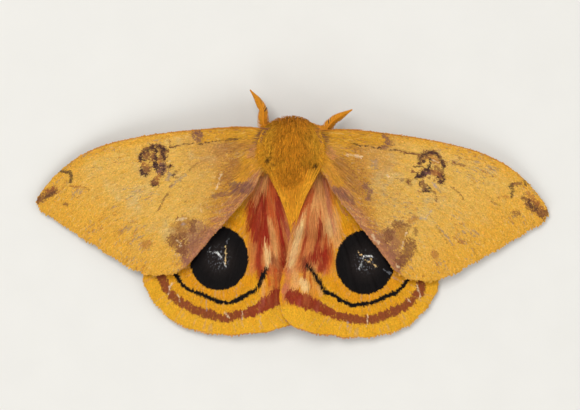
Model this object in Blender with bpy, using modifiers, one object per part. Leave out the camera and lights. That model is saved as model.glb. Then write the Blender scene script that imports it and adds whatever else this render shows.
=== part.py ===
"""A male io moth at rest with its wings open, life size, standing on a flat surface.

+X is to the moth's right, +Y towards its head and +Z up from the surface. The origin is on
that surface, under the middle of the moth. Every length here is in millimetres, every angle
in degrees, and place() turns each finished piece into metres.
"""

import math
import random

import bmesh
import bpy
from mathutils import Matrix, Vector

MM = 0.001
GAP = 0.3  # air between two neighbouring pieces
RIGHT, LEFT = 1, -1
UP = Vector((0, 0, 1))

# Wings: outlines on the right side, seen from above, from the root outwards.
FORE_COSTA = (
    (3.0, 11.2), (7.4, 11.4), (12.5, 11.0), (16.7, 10.5), (20.6, 9.85), (24.5, 8.9),
    (27.5, 7.65), (30.0, 6.0), (32.0, 4.1), (33.4, 2.3), (34.15, 0.9),
)
FORE_MARGIN = (
    (34.15, 0.9), (33.9, 0.1), (33.1, -0.6), (31.2, -1.7), (28.0, -3.7), (24.9, -5.5),
    (22.0, -7.2), (19.9, -8.1), (17.7, -8.4), (15.9, -8.15), (14.6, -7.65), (13.8, -6.95),
)
FORE_INNER = (
    (3.0, 7.0), (4.2, 5.3), (5.0, 3.7), (6.6, 1.6), (8.2, -0.3), (10.6, -3.1), (12.4, -5.3),
    (13.8, -6.95),
)
HIND_COSTA = (
    (3.0, 7.2), (7.6, 6.0), (12.4, 3.2), (16.4, -0.6), (18.9, -4.4), (19.8, -7.8),
)
HIND_MARGIN = (
    (19.8, -7.8), (19.4, -9.8), (18.6, -11.4), (17.5, -12.8), (15.9, -14.3), (13.9, -15.3),
    (11.0, -16.0), (8.0, -16.15), (5.3, -15.9), (2.7, -15.5), (0.9, -14.95), (0.0, -14.4),
)
HIND_INNER = (
    (3.0, 5.6), (2.5, 4.4), (1.5, 2.1), (0.75, 0.3), (0.1, -2.0), (-0.45, -5.6),
    (-1.1, -7.7), (-1.38, -10.4), (-1.1, -12.8), (0.0, -14.4),
)
# Main veins: share of the way from the front edge to the inner one at the root and at the
# margin, and share of the wing's length at which the vein starts.
FORE_VEINS = (
    (0.24, 0.07, 0.0), (0.34, 0.21, 0.48), (0.43, 0.35, 0.48), (0.53, 0.49, 0.0),
    (0.59, 0.63, 0.0), (0.65, 0.78, 0.0), (0.85, 0.92, 0.0),
)
HIND_VEINS = (
    (0.14, 0.07, 0.0), (0.26, 0.19, 0.0), (0.36, 0.31, 0.42), (0.47, 0.43, 0.42),
    (0.57, 0.55, 0.0), (0.64, 0.68, 0.0), (0.76, 0.84, 0.0),
)
FORE_CELL = 0.48  # where the cross-vein closes the discal cell
HIND_CELL = 0.42
VEIN_FOOT = 0.2  # a ridge's foot, as a share of the way to the next vein
MEMBRANE_THICKNESS = 0.5
VEIN_THICKNESS = 0.78
MARGIN_THICKNESS = 0.34
SCALLOP = 0.16  # depth of the margin's bays between the veins

# Height of the wings' middle surfaces above the surface the moth stands on.
FORE_ROOT_X, FORE_ROOT_Z, FORE_TIP_Z, FORE_SPAN = 3.6, 5.8, 1.0, 30.6
FORE_SAG = 0.035  # fall per millimetre behind the front edge
HIND_ROOT_X, HIND_ROOT_Z, HIND_TIP_Z, HIND_SPAN = 3.6, 3.0, 1.15, 16.2
DRAPE_WIDTH = 3.3  # how far the hindwing's fold over the abdomen reaches sideways
OVERLAP_LIFT = 1.0  # the right hindwing lies on the left one along the middle

# Body.
THORAX_CENTRE = Vector((0, 7.9, 4.7))
THORAX_RADII = Vector((3.2, 4.5, 3.25))
THORAX_BLUNTNESS = 2.7  # 2 is an ellipsoid; more has blunter ends
HEAD_CENTRE = Vector((0, 11.6, 3.6))
HEAD_RADII = Vector((1.65, 1.35, 1.5))
EYE_CENTRE = Vector((1.3, 12.0, 3.55))
EYE_RADIUS = 0.82
ABDOMEN_FRONT, ABDOMEN_TIP = 3.9, -8.4
ABDOMEN_SEGMENTS = 8

COLOURS = {
    "fur": (0.55, 0.27, 0.03),
    "head": (0.50, 0.24, 0.03),
    "wing": (0.80, 0.44, 0.06),
    "hindwing": (0.85, 0.42, 0.04),
    "antenna": (0.78, 0.36, 0.03),
    "leg": (0.42, 0.16, 0.09),
    "eye": (0.015, 0.012, 0.01),
}
ROUGHNESS = {"eye": 0.15, "antenna": 0.6, "leg": 0.7}


def clear_scene():
    for obj in list(bpy.data.objects):
        bpy.data.objects.remove(obj)


def smoothstep(low, high, value):
    share = min(1.0, max(0.0, (value - low) / (high - low)))
    return share * share * (3 - 2 * share)


# Shapes from bmesh and curves

def object_from(bm, name, collection):
    mesh = bpy.data.meshes.new(name)
    bm.to_mesh(mesh)
    bm.free()
    obj = bpy.data.objects.new(name, mesh)
    collection.objects.link(obj)
    return obj


def evaluated_copy(obj, name, collection):
    """The object with its modifiers or curve bevel made real, as one closed mesh."""
    graph = bpy.context.evaluated_depsgraph_get()
    mesh = bpy.data.meshes.new_from_object(obj.evaluated_get(graph))
    mesh.transform(obj.matrix_world)
    made = bpy.data.objects.new(name, mesh)
    collection.objects.link(made)
    bpy.data.objects.remove(obj)
    made.name = name
    weld(made)
    return made


def weld(obj, distance=0.001):
    bm = bmesh.new()
    bm.from_mesh(obj.data)
    bmesh.ops.remove_doubles(bm, verts=bm.verts, dist=distance)
    bmesh.ops.recalc_face_normals(bm, faces=bm.faces)
    bm.to_mesh(obj.data)
    bm.free()


def tube(name, path, radii, collection, bevel_resolution=2):
    """A round limb along a path, with its own radius at each point."""
    curve = bpy.data.curves.new(name, "CURVE")
    curve.dimensions = "3D"
    curve.bevel_depth = 1.0
    curve.bevel_resolution = bevel_resolution
    curve.use_fill_caps = True
    spline = curve.splines.new("POLY")
    spline.points.add(len(path) - 1)
    for point, place_, radius in zip(spline.points, path, radii):
        point.co = (*place_, 1.0)
        point.radius = radius
    obj = bpy.data.objects.new(name, curve)
    collection.objects.link(obj)
    return evaluated_copy(obj, name, collection)


def ball(name, centre, radii, collection, segments=20, rings=12, bluntness=2.0):
    bm = bmesh.new()
    bmesh.ops.create_uvsphere(bm, u_segments=segments, v_segments=rings, radius=1.0)
    for vert in bm.verts:
        across = math.hypot(vert.co.x, vert.co.y)
        if across > 0.001:
            fuller = (1 - abs(vert.co.z) ** bluntness) ** (1 / bluntness) / across
            vert.co.x *= fuller
            vert.co.y *= fuller
    lie_along_y = Matrix.Rotation(math.radians(90), 4, "X")
    shape = Matrix.Translation(centre) @ Matrix.Diagonal((*radii, 1.0)) @ lie_along_y
    bmesh.ops.transform(bm, matrix=shape, verts=bm.verts)
    return object_from(bm, name, collection)


def join(base, pieces):
    """Fuses a collection of closed pieces into the base, and removes them."""
    if pieces.objects:
        union = base.modifiers.new("union", "BOOLEAN")
        union.operation = "UNION"
        union.operand_type = "COLLECTION"
        union.collection = pieces
        union.solver = "MANIFOLD"
        apply_modifiers(base)
    for piece in list(pieces.objects):
        bpy.data.objects.remove(piece)
    bpy.data.collections.remove(pieces)


def cut(base, cutters):
    """Cuts the base clear of each cutter, one after another."""
    for cutter in cutters:
        difference = base.modifiers.new("clearance", "BOOLEAN")
        difference.operation = "DIFFERENCE"
        difference.object = cutter
        difference.solver = "MANIFOLD"
    apply_modifiers(base)


def apply_modifiers(obj):
    graph = bpy.context.evaluated_depsgraph_get()
    mesh = bpy.data.meshes.new_from_object(obj.evaluated_get(graph))
    obj.modifiers.clear()
    obj.data = mesh


def flatten_base(obj):
    """Trims what would reach into the surface the moth stands on, and closes the cut."""
    bm = bmesh.new()
    bm.from_mesh(obj.data)
    everything = bm.verts[:] + bm.edges[:] + bm.faces[:]
    bmesh.ops.bisect_plane(
        bm, geom=everything, dist=0.004, plane_co=(0, 0, 0), plane_no=(0, 0, -1),
        clear_outer=True,
    )
    open_edges = [edge for edge in bm.edges if edge.is_boundary]
    bmesh.ops.holes_fill(bm, edges=open_edges, sides=0)
    bmesh.ops.recalc_face_normals(bm, faces=bm.faces)
    bm.to_mesh(obj.data)
    bm.free()


def keep_largest(obj):
    """Drops the loose scraps and sealed hollows that a union or a cut leaves."""
    bm = bmesh.new()
    bm.from_mesh(obj.data)
    left, shells = set(bm.faces), []
    while left:
        shell, edge = [], [left.pop()]
        while edge:
            face = edge.pop()
            shell.append(face)
            for side in face.edges:
                for other in side.link_faces if len(side.link_faces) == 2 else ():
                    if other in left:
                        left.discard(other)
                        edge.append(other)
        shells.append(shell)
    shells.sort(key=len, reverse=True)
    scraps = [face for shell in shells[1:] for face in shell]
    bmesh.ops.delete(bm, geom=scraps, context="FACES")
    bm.to_mesh(obj.data)
    bm.free()


def swollen(obj, name, collection, gap=GAP):
    """A copy of a closed piece that is larger by the gap on every side."""
    bm = bmesh.new()
    bm.from_mesh(obj.data)
    bm.normal_update()
    steps = [vert.normal * gap * min(vert.calc_shell_factor(), 1.6) for vert in bm.verts]
    for vert, step in zip(bm.verts, steps):
        vert.co += step
    return object_from(bm, name, collection)


# Curves through a few points

def curve_through(points, count):
    """Evenly spaced points along a smooth curve through the given ones."""
    knots = [Vector((*p, 0.0)[:3]) for p in points]
    ends = [2 * knots[0] - knots[1]] + knots + [2 * knots[-1] - knots[-2]]
    fine = []
    steps = 12
    for i in range(1, len(ends) - 2):
        a, b, c, d = ends[i - 1 : i + 3]
        for k in range(steps):
            t = k / steps
            fine.append(
                0.5 * (2 * b + (c - a) * t + (2 * a - 5 * b + 4 * c - d) * t**2
                       + (3 * b - a - 3 * c + d) * t**3)
            )
    fine.append(knots[-1])
    run = [0.0]
    for a, b in zip(fine, fine[1:]):
        run.append(run[-1] + (b - a).length)
    made, k = [], 0
    for i in range(count):
        want = run[-1] * i / (count - 1)
        while k < len(run) - 2 and run[k + 1] < want:
            k += 1
        made.append(fine[k].lerp(fine[k + 1], (want - run[k]) / (run[k + 1] - run[k])))
    return made


def along(points, share):
    """The point at a share of the way along an evenly spaced row of points."""
    at = min(max(share, 0.0), 1.0) * (len(points) - 1)
    k = min(int(at), len(points) - 2)
    return points[k].lerp(points[k + 1], at - k)


# Wings

def fore_height(x, y):
    out = min(1.0, max(0.0, (abs(x) - FORE_ROOT_X) / FORE_SPAN))
    behind = max(0.0, 11.4 - 0.0095 * x * x - y)
    return FORE_TIP_Z + (FORE_ROOT_Z - FORE_TIP_Z) * (1 - out) ** 1.2 - FORE_SAG * behind


def abdomen_top(y):
    return abdomen_middle(y) + abdomen_radius(y)


def hind_height(x, y, side):
    """x counts outwards from the middle of the moth, on the wing's own side."""
    out = min(1.0, max(0.0, (x - HIND_ROOT_X) / HIND_SPAN))
    flat = HIND_TIP_Z + (HIND_ROOT_Z - HIND_TIP_Z) * (1 - out) ** 1.5
    flat -= 0.5 * smoothstep(-8.0, -16.0, y) * (1 - out)
    fold = max(0.0, abdomen_top(max(y, ABDOMEN_TIP + 1.0)) + 0.75 - flat)
    fold *= 1 - 0.62 * smoothstep(-6.5, -14.0, y)
    height = flat + fold * math.exp(-((x / DRAPE_WIDTH) ** 2))
    if side == RIGHT:
        height += OVERLAP_LIFT * smoothstep(6.0, 1.6, x) * smoothstep(2.5, -1.5, y)
    return height


def vein_columns(veins, along_wing):
    """Where the grid's lines lie across the wing, and which vein each one runs on."""
    lines = [0.0]
    for root, margin, _ in veins:
        lines.append(root + (margin - root) * along_wing**0.8)
    lines.append(1.0)
    columns = []
    for number, (this, following) in enumerate(zip(lines, lines[1:])):
        width = following - this
        columns += [
            (this, number),
            (this + width * VEIN_FOOT, None),
            (this + width * (1 - VEIN_FOOT), None),
        ]
    columns.append((1.0, len(lines) - 1))
    return columns


def wing(name, collection, costa, margin, inner, veins, cell, height, side, rows):
    """One wing as a sheet over a grid whose lines run out along its veins."""
    front, outer, back = (curve_through(c, 60) for c in (costa, margin, inner))
    columns = len(vein_columns(veins, 0.0))
    bm = bmesh.new()
    bmesh.ops.create_grid(bm, x_segments=len(rows) - 1, y_segments=columns - 1, size=1.0)
    deform = bm.verts.layers.deform.verify()
    for vert in bm.verts:
        row = round((vert.co.x + 1) / 2 * (len(rows) - 1))
        column = round((1 - vert.co.y) / 2 * (columns - 1))
        out = rows[row]
        across, vein = vein_columns(veins, out)[column]
        a, b = along(front, out), along(back, out)
        c, d = front[0].lerp(back[0], across), along(outer, across)
        corners = (
            front[0].lerp(back[0], across) * (1 - out) + outer[0].lerp(outer[-1], across) * out
        )
        spot = a.lerp(b, across) + c.lerp(d, out) - corners
        on_vein = vein is not None and (
            vein in (0, len(veins) + 1) or out >= veins[vein - 1][2]
        )
        closes_cell = out == cell and veins[0][0] < across < veins[3][0]
        if row == len(rows) - 1:
            weight = MARGIN_THICKNESS / VEIN_THICKNESS
            if vein is None:
                inward = (along(front, 0.4) - spot).normalized()
                spot += inward * SCALLOP * smoothstep(0.0, 0.08, across * (1 - across))
        elif on_vein or closes_cell:
            weight = 1.0
        else:
            weight = MEMBRANE_THICKNESS / VEIN_THICKNESS
        vert.co = Vector((spot.x * side, spot.y, height(spot.x, spot.y)))
        vert[deform][0] = weight
    bmesh.ops.triangulate(bm, faces=bm.faces)
    bmesh.ops.recalc_face_normals(bm, faces=bm.faces)
    obj = object_from(bm, name, collection)
    obj.vertex_groups.new(name="thickness")
    shell = obj.modifiers.new("thickness", "SOLIDIFY")
    shell.thickness = VEIN_THICKNESS
    shell.offset = 0.0
    shell.vertex_group = "thickness"
    return evaluated_copy(obj, name, collection)


def forewing(side, name, collection):
    rows = (0, 0.05, 0.12, 0.2, 0.28, 0.37, 0.45, FORE_CELL, 0.51, 0.6, 0.7, 0.8, 0.9, 0.97, 1)
    return wing(name, collection, FORE_COSTA, FORE_MARGIN, FORE_INNER, FORE_VEINS, FORE_CELL,
                fore_height, side, rows)


def wing_clearance(outline, height, side, collection):
    """Room for a wing's root, over a coarse sheet without veins."""
    coarse = wing("clearance", collection, *outline, (), None, height, side,
                  (0, 0.08, 0.2, 0.4, 0.7, 1))
    room = swollen(coarse, "clearance", collection, GAP)
    bpy.data.objects.remove(coarse)
    return room


def hindwing(side, name, collection):
    rows = (0, 0.06, 0.14, 0.23, 0.32, 0.39, HIND_CELL, 0.45, 0.54, 0.64, 0.76, 0.88, 0.96, 1)
    return wing(name, collection, HIND_COSTA, HIND_MARGIN, HIND_INNER, HIND_VEINS, HIND_CELL,
                lambda x, y: hind_height(x, y, side), side, rows)


# Locks of the coat

def lock(name, root, normal, lie, length, width, lift, droop, collection, thickness=0.5):
    """A flat tapered tuft that leaves the body at a low angle and bends back down to it."""
    cuts, sunk = 2, 0.45
    bm = bmesh.new()
    bmesh.ops.create_cone(
        bm, cap_ends=True, segments=4, radius1=0.5, radius2=0.08, depth=1.0,
        matrix=Matrix.Translation((0, 0, 0.5)),
    )
    long_edges = [e for e in bm.edges if abs(e.verts[0].co.z - e.verts[1].co.z) > 0.5]
    bmesh.ops.subdivide_edges(bm, edges=long_edges, cuts=cuts)
    for vert in bm.verts:
        across, through, share = vert.co
        full = 1.0 + 0.35 * math.sin(math.pi * share)
        reach = share * length - sunk
        rise = lift * math.sin(math.pi * min(1.0, share * 1.05)) - droop * share * share
        vert.co = Vector((-across * width * full, reach, through * thickness * 1.4 + rise - 0.12))
    lie = (lie - normal * lie.dot(normal)).normalized()
    axes = Matrix((lie.cross(normal), lie, normal)).transposed().to_4x4()
    bmesh.ops.transform(bm, matrix=Matrix.Translation(root) @ axes, verts=bm.verts)
    return object_from(bm, name, collection)


def on_ball(centre, radii, turn, y, bluntness=2.0):
    """A point and its normal on a blunt ball, at a place y along it and a turn from its top."""
    share = max(-0.97, min(0.97, (y - centre.y) / radii.y))
    ring = (1 - abs(share) ** bluntness) ** (1 / bluntness)
    unit = Vector((ring * math.sin(turn), share, ring * math.cos(turn)))
    spot = centre + Vector(a * b for a, b in zip(unit, radii))
    steep = math.copysign(abs(share) ** (bluntness - 1) * ring ** (2 - bluntness), share)
    normal = Vector((unit.x / radii.x, steep / radii.y, unit.z / radii.z)).normalized()
    return spot, normal


def thorax(collection, draw):
    pieces = new_collection("thorax_pieces")
    base = ball("thorax", THORAX_CENTRE, THORAX_RADII, collection, 22, 14, THORAX_BLUNTNESS)
    rows = ((11.4, 5, -62, 62), (10.0, 5, -66, 66), (8.6, 6, -68, 68), (7.2, 5, -66, 66),
            (5.7, 5, -64, 64), (4.5, 4, -56, 56), (9.6, 1, 110, 116), (9.6, 1, -116, -110),
            (6.8, 1, 110, 116), (6.8, 1, -116, -110))
    for y, count, first, last in rows:
        for k in range(count):
            turn = math.radians(first + (last - first) * (k + 0.5) / count + draw.uniform(-3, 3))
            spot, normal = on_ball(THORAX_CENTRE, THORAX_RADII, turn, y, THORAX_BLUNTNESS)
            forward = 1.5 * smoothstep(9.6, 11.6, y) - 1.0
            lie = Vector((math.sin(turn) * (0.5 + 0.7 * smoothstep(9.0, 11.5, y)), forward, 0.0))
            length = 3.3 - 0.5 * smoothstep(10.0, 11.5, y) + draw.uniform(-0.25, 0.25)
            lock("lock", spot, normal, lie, length, draw.uniform(1.5, 1.85), 0.62, 0.2, pieces)
    join(base, pieces)
    return base


# Head, eyes, palps and feelers

def head(collection, draw):
    pieces = new_collection("head_pieces")
    base = ball("head", HEAD_CENTRE, HEAD_RADII, collection, 18, 11)
    for turn in (-75, -38, 0, 38, 75):
        for y, length in ((12.2, 1.2), (12.6, 1.0)):
            spot, normal = on_ball(HEAD_CENTRE, HEAD_RADII, math.radians(turn), y)
            lie = Vector((math.sin(math.radians(turn)) * 0.5, 1.0, -0.6))
            lock("lock", spot, normal, lie, length + draw.uniform(-0.1, 0.1), 0.75, 0.2, 0.3,
                 pieces, 0.4)
    join(base, pieces)
    return base


def palp(side, name, collection):
    path = [Vector((0.5 * side, 12.5, 2.75)), Vector((0.55 * side, 12.85, 2.45)),
            Vector((0.6 * side, 13.0, 2.1)), Vector((0.6 * side, 12.95, 1.8))]
    return tube(name, path, (0.3, 0.34, 0.3, 0.16), collection)


# The left feeler reaches forward and the right one swings out to the side.
FEELER_PATHS = {
    LEFT: ((-0.6, 12.0, 4.5), (-1.5, 12.15, 5.0), (-2.8, 11.95, 5.05), (-3.85, 12.3, 4.95),
           (-4.1, 13.3, 4.85), (-4.1, 14.3, 4.7), (-4.9, 15.4, 4.5), (-5.95, 16.3, 4.3)),
    RIGHT: ((0.6, 12.0, 4.5), (1.5, 12.15, 5.0), (2.8, 11.9, 5.05), (3.85, 12.0, 4.95),
            (4.75, 12.5, 4.85), (5.7, 13.15, 4.7), (6.6, 13.7, 4.55), (7.6, 14.15, 4.4)),
}
FEELER_RADIUS = 0.26
FEELER_POINTS = 15
COMB_START = 0.36  # share of the feeler at which the comb's teeth begin
COMB_TEETH = 10
COMB_LENGTH = 1.25
COMB_DROOP = 56


def feeler_path(side):
    return curve_through(FEELER_PATHS[side], FEELER_POINTS)


def feeler_radius(share):
    return FEELER_RADIUS * (1 - 0.55 * smoothstep(0.5, 1.0, share))


def feeler(side, name, collection, draw):
    """A shaft with two rows of comb teeth that hang to either side of it."""
    path = feeler_path(side)
    radii = [feeler_radius(i / (FEELER_POINTS - 1)) for i in range(FEELER_POINTS)]
    base = tube(name, path, radii, collection, 1)
    teeth = new_collection(name + "_teeth")
    for k in range(COMB_TEETH):
        share = COMB_START + (0.97 - COMB_START) * k / (COMB_TEETH - 1)
        spot = along(path, share)
        forward = (along(path, share + 0.03) - along(path, share - 0.03)).normalized()
        sideways = forward.cross(UP).normalized()
        length = COMB_LENGTH * (1 - 0.75 * smoothstep(0.45, 1.0, share)) + draw.uniform(-0.05, 0.05)
        droop = math.radians(COMB_DROOP)
        for hand in (1, -1):
            out = sideways * hand * math.cos(droop) - UP * math.sin(droop)
            tip = spot + out * length + forward * length * 0.45
            middle = spot + out * length * 0.55 + forward * length * 0.15
            thick = 0.23 * (1 - 0.35 * share)
            tube("tooth", (spot, middle, tip), (thick, thick, 0.09), teeth, 0)
    join(base, teeth)
    return base


# Abdomen

def abdomen_share(y):
    return (ABDOMEN_FRONT - y) / (ABDOMEN_FRONT - ABDOMEN_TIP)


def abdomen_radius(y):
    share = min(1.0, max(0.0, abdomen_share(y)))
    return 2.15 * math.sqrt(max(0.0, 1 - (max(0.0, share - 0.25) / 0.78) ** 2.4))


def abdomen_middle(y):
    return 2.55 - 1.15 * min(1.0, max(0.0, abdomen_share(y))) ** 1.1


def abdomen(collection, draw):
    """Turned from a stepped profile, then bent down to rest its belly on the surface."""
    bm = bmesh.new()
    points = []
    for k in range(ABDOMEN_SEGMENTS):
        for step, swell in ((0.0, -0.12), (0.4, 0.04), (0.92, 0.07)):
            share = (k + step) / ABDOMEN_SEGMENTS
            y = ABDOMEN_FRONT + (ABDOMEN_TIP - ABDOMEN_FRONT) * share
            points.append((abdomen_radius(y) + swell, y))
    points = [(0.0, ABDOMEN_FRONT)] + points + [(0.0, ABDOMEN_TIP)]
    verts = [bm.verts.new((radius, 0.0, -y)) for radius, y in points]
    for a, b in zip(verts, verts[1:]):
        bm.edges.new((a, b))
    obj = object_from(bm, "abdomen", collection)
    screw = obj.modifiers.new("turned", "SCREW")
    screw.axis = "Z"
    screw.steps = screw.render_steps = 16
    screw.use_merge_vertices = True
    screw.merge_threshold = 0.0001
    base = evaluated_copy(obj, "abdomen", collection)
    for vert in base.data.vertices:
        x, z, y = vert.co.x, vert.co.y, -vert.co.z
        vert.co = Vector((x * 1.08, y, z + abdomen_middle(y)))
    weld(base)
    flatten_base(base)
    pieces = new_collection("abdomen_pieces")
    for y, half in ((1.7, 0.75), (0.9, 0.35), (0.1, 0.0)):
        for across in (-half, half) if half else (0.0,):
            spot = Vector((across, y, abdomen_middle(y) + abdomen_radius(y) - 0.1))
            lie = Vector((-across * 0.35, -1.0, 0.0))
            lock("lock", spot, UP, lie, 2.6 + draw.uniform(-0.2, 0.2), 1.2, 0.6, -0.3, pieces)
    for k in range(1, ABDOMEN_SEGMENTS):
        y = ABDOMEN_FRONT + (ABDOMEN_TIP - ABDOMEN_FRONT) * (k + 0.6) / ABDOMEN_SEGMENTS
        radius, middle = abdomen_radius(y), abdomen_middle(y)
        for turn in (-88, 88):
            angle = math.radians(turn)
            normal = Vector((math.sin(angle), 0.0, math.cos(angle)))
            spot = Vector((1.08 * radius * normal.x, y, middle + radius * normal.z))
            lie = Vector((normal.x * 0.35, -1.0, -0.1))
            lock("lock", spot, normal, lie, 1.7 + draw.uniform(-0.15, 0.15), 0.9, 0.1, 0.15,
                 pieces)
    tail = Vector((0.0, ABDOMEN_TIP + 0.5, abdomen_middle(ABDOMEN_TIP)))
    for turn in (-60, -20, 20, 60, 110, -110):
        angle = math.radians(turn)
        normal = Vector((math.sin(angle), 0.0, math.cos(angle)))
        spot = tail + Vector((normal.x * 0.5, 0.0, normal.z * 0.4))
        lock("lock", spot, normal, Vector((normal.x * 0.4, -1, -0.1)), 1.9, 0.9, 0.1, 0.1, pieces)
    join(base, pieces)
    return base


def abdomen_clearance(collection):
    ends = [ABDOMEN_FRONT + GAP, ABDOMEN_FRONT - 1.5, ABDOMEN_FRONT - 4.0]
    path = [Vector((0, y, abdomen_middle(y))) for y in ends]
    radii = [1.12 * (abdomen_radius(y) + 0.07) + GAP for y in ends]
    return tube("clearance", path, radii, collection, 4)


# Legs: hip, knee, ankle, and where the foot's last joint touches down, right side.
LEGS = {
    "front": ((1.3, 9.3, 2.3), (3.7, 10.5, 2.5), (4.9, 10.2, 0.8), (7.4, 9.6, 0.2)),
    "middle": ((1.5, 7.4, 2.2), (4.6, 7.0, 2.5), (6.2, 6.0, 0.8), (8.9, 5.2, 0.2)),
    "hind": ((1.5, 5.6, 2.3), (4.2, 3.2, 2.2), (5.6, 0.6, 0.75), (7.2, -2.0, 0.2)),
}
FEMUR_RADIUS, KNEE_RADIUS, ANKLE_RADIUS, FOOT_RADIUS = 0.62, 0.4, 0.34, 0.27
FOOT_JOINTS = 5


def leg_path(pair, side):
    """The leg's centre line and its radius at each point."""
    hip, knee, ankle, toe = (Vector((x * side, y, z)) for x, y, z in LEGS[pair])
    path = [hip, hip.lerp(knee, 0.35), hip.lerp(knee, 0.8), knee, knee.lerp(ankle, 0.25),
            knee.lerp(ankle, 0.75), ankle]
    radii = [FEMUR_RADIUS * 0.8, FEMUR_RADIUS, FEMUR_RADIUS * 0.8, KNEE_RADIUS,
             FEMUR_RADIUS * 0.75, KNEE_RADIUS, ANKLE_RADIUS]
    heel = ankle.lerp(toe, 0.22)
    heel.z = toe.z
    for k in range(FOOT_JOINTS):
        for step, swell in ((0.15, 0.85), (0.85, 1.1)):
            share = (k + step) / FOOT_JOINTS
            path.append(heel.lerp(toe, share))
            radii.append(FOOT_RADIUS * swell * (1 - 0.15 * share))
    return path, radii


def leg(pair, side, name, collection):
    path, radii = leg_path(pair, side)
    obj = tube(name, path, radii, collection, 1)
    flatten_base(obj)
    return obj


def leg_clearance(pair, side, collection):
    path, radii = leg_path(pair, side)
    start = path[0] + (path[0] - path[1]).normalized() * GAP
    return tube("clearance", [start] + path[1:4], [r + GAP for r in radii[:4]], collection, 1)


# Finish

def new_collection(name):
    made = bpy.data.collections.new(name)
    bpy.context.scene.collection.children.link(made)
    return made


def material(name):
    made = bpy.data.materials.new(name)
    made.use_nodes = True
    shader = made.node_tree.nodes["Principled BSDF"]
    shader.inputs["Base Color"].default_value = (*COLOURS[name], 1.0)
    shader.inputs["Roughness"].default_value = ROUGHNESS.get(name, 0.85)
    return made


def place(obj, finish):
    """Turns a finished piece from millimetres into metres and gives it its material."""
    obj.data.transform(Matrix.Scale(MM, 4))
    obj.data.materials.clear()
    obj.data.materials.append(finish)
    obj.data.shade_smooth()
    obj.data.set_sharp_from_angle(angle=math.radians(40))


def main():
    clear_scene()
    draw = random.Random(7)
    moth = new_collection("io_moth")
    cutters = new_collection("clearances")
    sides = {"left": LEFT, "right": RIGHT}

    wing_room = []
    for word, side in sides.items():
        forewing(side, "forewing_" + word, moth)
        hindwing(side, "hindwing_" + word, moth)
        wing_room.append(wing_clearance((FORE_COSTA, FORE_MARGIN, FORE_INNER), fore_height,
                                        side, cutters))
        wing_room.append(wing_clearance((HIND_COSTA, HIND_MARGIN, HIND_INNER),
                                        lambda x, y: hind_height(x, y, side), side, cutters))

    feelers, feeler_room, eyes, eye_room, palps, palp_room = [], [], [], [], [], []
    for word, side in sides.items():
        feelers.append(feeler(side, "antenna_" + word, moth, draw))
        path = feeler_path(side)
        path[0] = path[0] + (path[0] - path[1]).normalized() * GAP
        radii = [feeler_radius(i / (FEELER_POINTS - 1)) + GAP for i in range(FEELER_POINTS)]
        feeler_room.append(tube("clearance", path, radii, cutters, 1))
        centre = Vector((EYE_CENTRE.x * side, EYE_CENTRE.y, EYE_CENTRE.z))
        eyes.append(ball("eye_" + word, centre, Vector([EYE_RADIUS] * 3), moth, 14, 9))
        eye_room.append(ball("clearance", centre, Vector([EYE_RADIUS + GAP] * 3), cutters, 14, 9))
        palps.append(palp(side, "palp_" + word, moth))
        palp_room.append(swollen(palps[-1], "clearance", cutters))

    legs, leg_room = [], []
    for pair in LEGS:
        for word, side in sides.items():
            legs.append(leg(pair, side, f"leg_{pair}_{word}", moth))
            leg_room.append(leg_clearance(pair, side, cutters))

    skull = head(moth, draw)
    head_room = [ball("clearance", HEAD_CENTRE, HEAD_RADII + Vector([GAP] * 3), cutters)]
    tail, tail_room = abdomen(moth, draw), abdomen_clearance(cutters)
    chest = thorax(moth, draw)

    cut(skull, feeler_room + eye_room + palp_room)
    cut(tail, wing_room)
    cut(chest, wing_room + feeler_room + eye_room + leg_room + head_room + [tail_room])
    for obj in (skull, tail, chest):
        keep_largest(obj)

    finishes = {name: material(name) for name in COLOURS}
    for obj in moth.objects:
        kind = obj.name.split("_")[0]
        kind = {"forewing": "wing", "thorax": "fur", "abdomen": "fur", "palp": "head"}.get(kind, kind)
        place(obj, finishes[kind])
    for obj in list(cutters.objects):
        bpy.data.objects.remove(obj)


main()
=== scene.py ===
"""A male io moth at rest with open wings, set on a pale board and seen from straight above.

+X is to the moth's right, +Y towards its head and +Z up. Lengths are in millimetres, and MM
turns them into metres where an object is made.
"""

import math

import bpy
import numpy as np
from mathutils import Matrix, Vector


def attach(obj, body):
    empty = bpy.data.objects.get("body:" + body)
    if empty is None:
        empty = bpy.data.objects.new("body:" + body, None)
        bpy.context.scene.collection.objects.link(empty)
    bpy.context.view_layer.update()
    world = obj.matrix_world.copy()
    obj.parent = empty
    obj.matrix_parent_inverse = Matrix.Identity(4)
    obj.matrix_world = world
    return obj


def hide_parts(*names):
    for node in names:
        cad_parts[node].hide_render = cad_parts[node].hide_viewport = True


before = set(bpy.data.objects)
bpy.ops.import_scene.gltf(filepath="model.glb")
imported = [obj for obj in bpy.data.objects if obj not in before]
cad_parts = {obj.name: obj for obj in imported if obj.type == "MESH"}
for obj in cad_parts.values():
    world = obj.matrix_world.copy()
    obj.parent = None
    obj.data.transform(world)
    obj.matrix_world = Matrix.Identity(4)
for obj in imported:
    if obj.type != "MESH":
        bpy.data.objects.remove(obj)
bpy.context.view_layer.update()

# The board, the lamps and the camera. The moth stands on a plain pale board under soft studio
# lamps, and the camera looks straight down on it, turned a little as the photo was.
MM = 0.001
BOARD_WIDTH, BOARD_GRAIN = 1.2, 6.0
NOISE_DETAIL = 3.0
CAMERA_AIM = (-0.34, 1.32, 2.0)
CAMERA_TURN = 1.3
FIELD_WIDTH = 77.0
LENS, SENSOR = 180.0, 36.0
LAMPS = (
    ("key_lamp", (-0.12, 0.18, 0.5), 0.28, 1.68),
    ("fill_lamp", (0.34, -0.06, 0.34), 0.34, 0.52),
    ("back_lamp", (-0.1, -0.34, 0.32), 0.3, 0.66),
)
SKY_STRENGTH = 0.36


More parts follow.
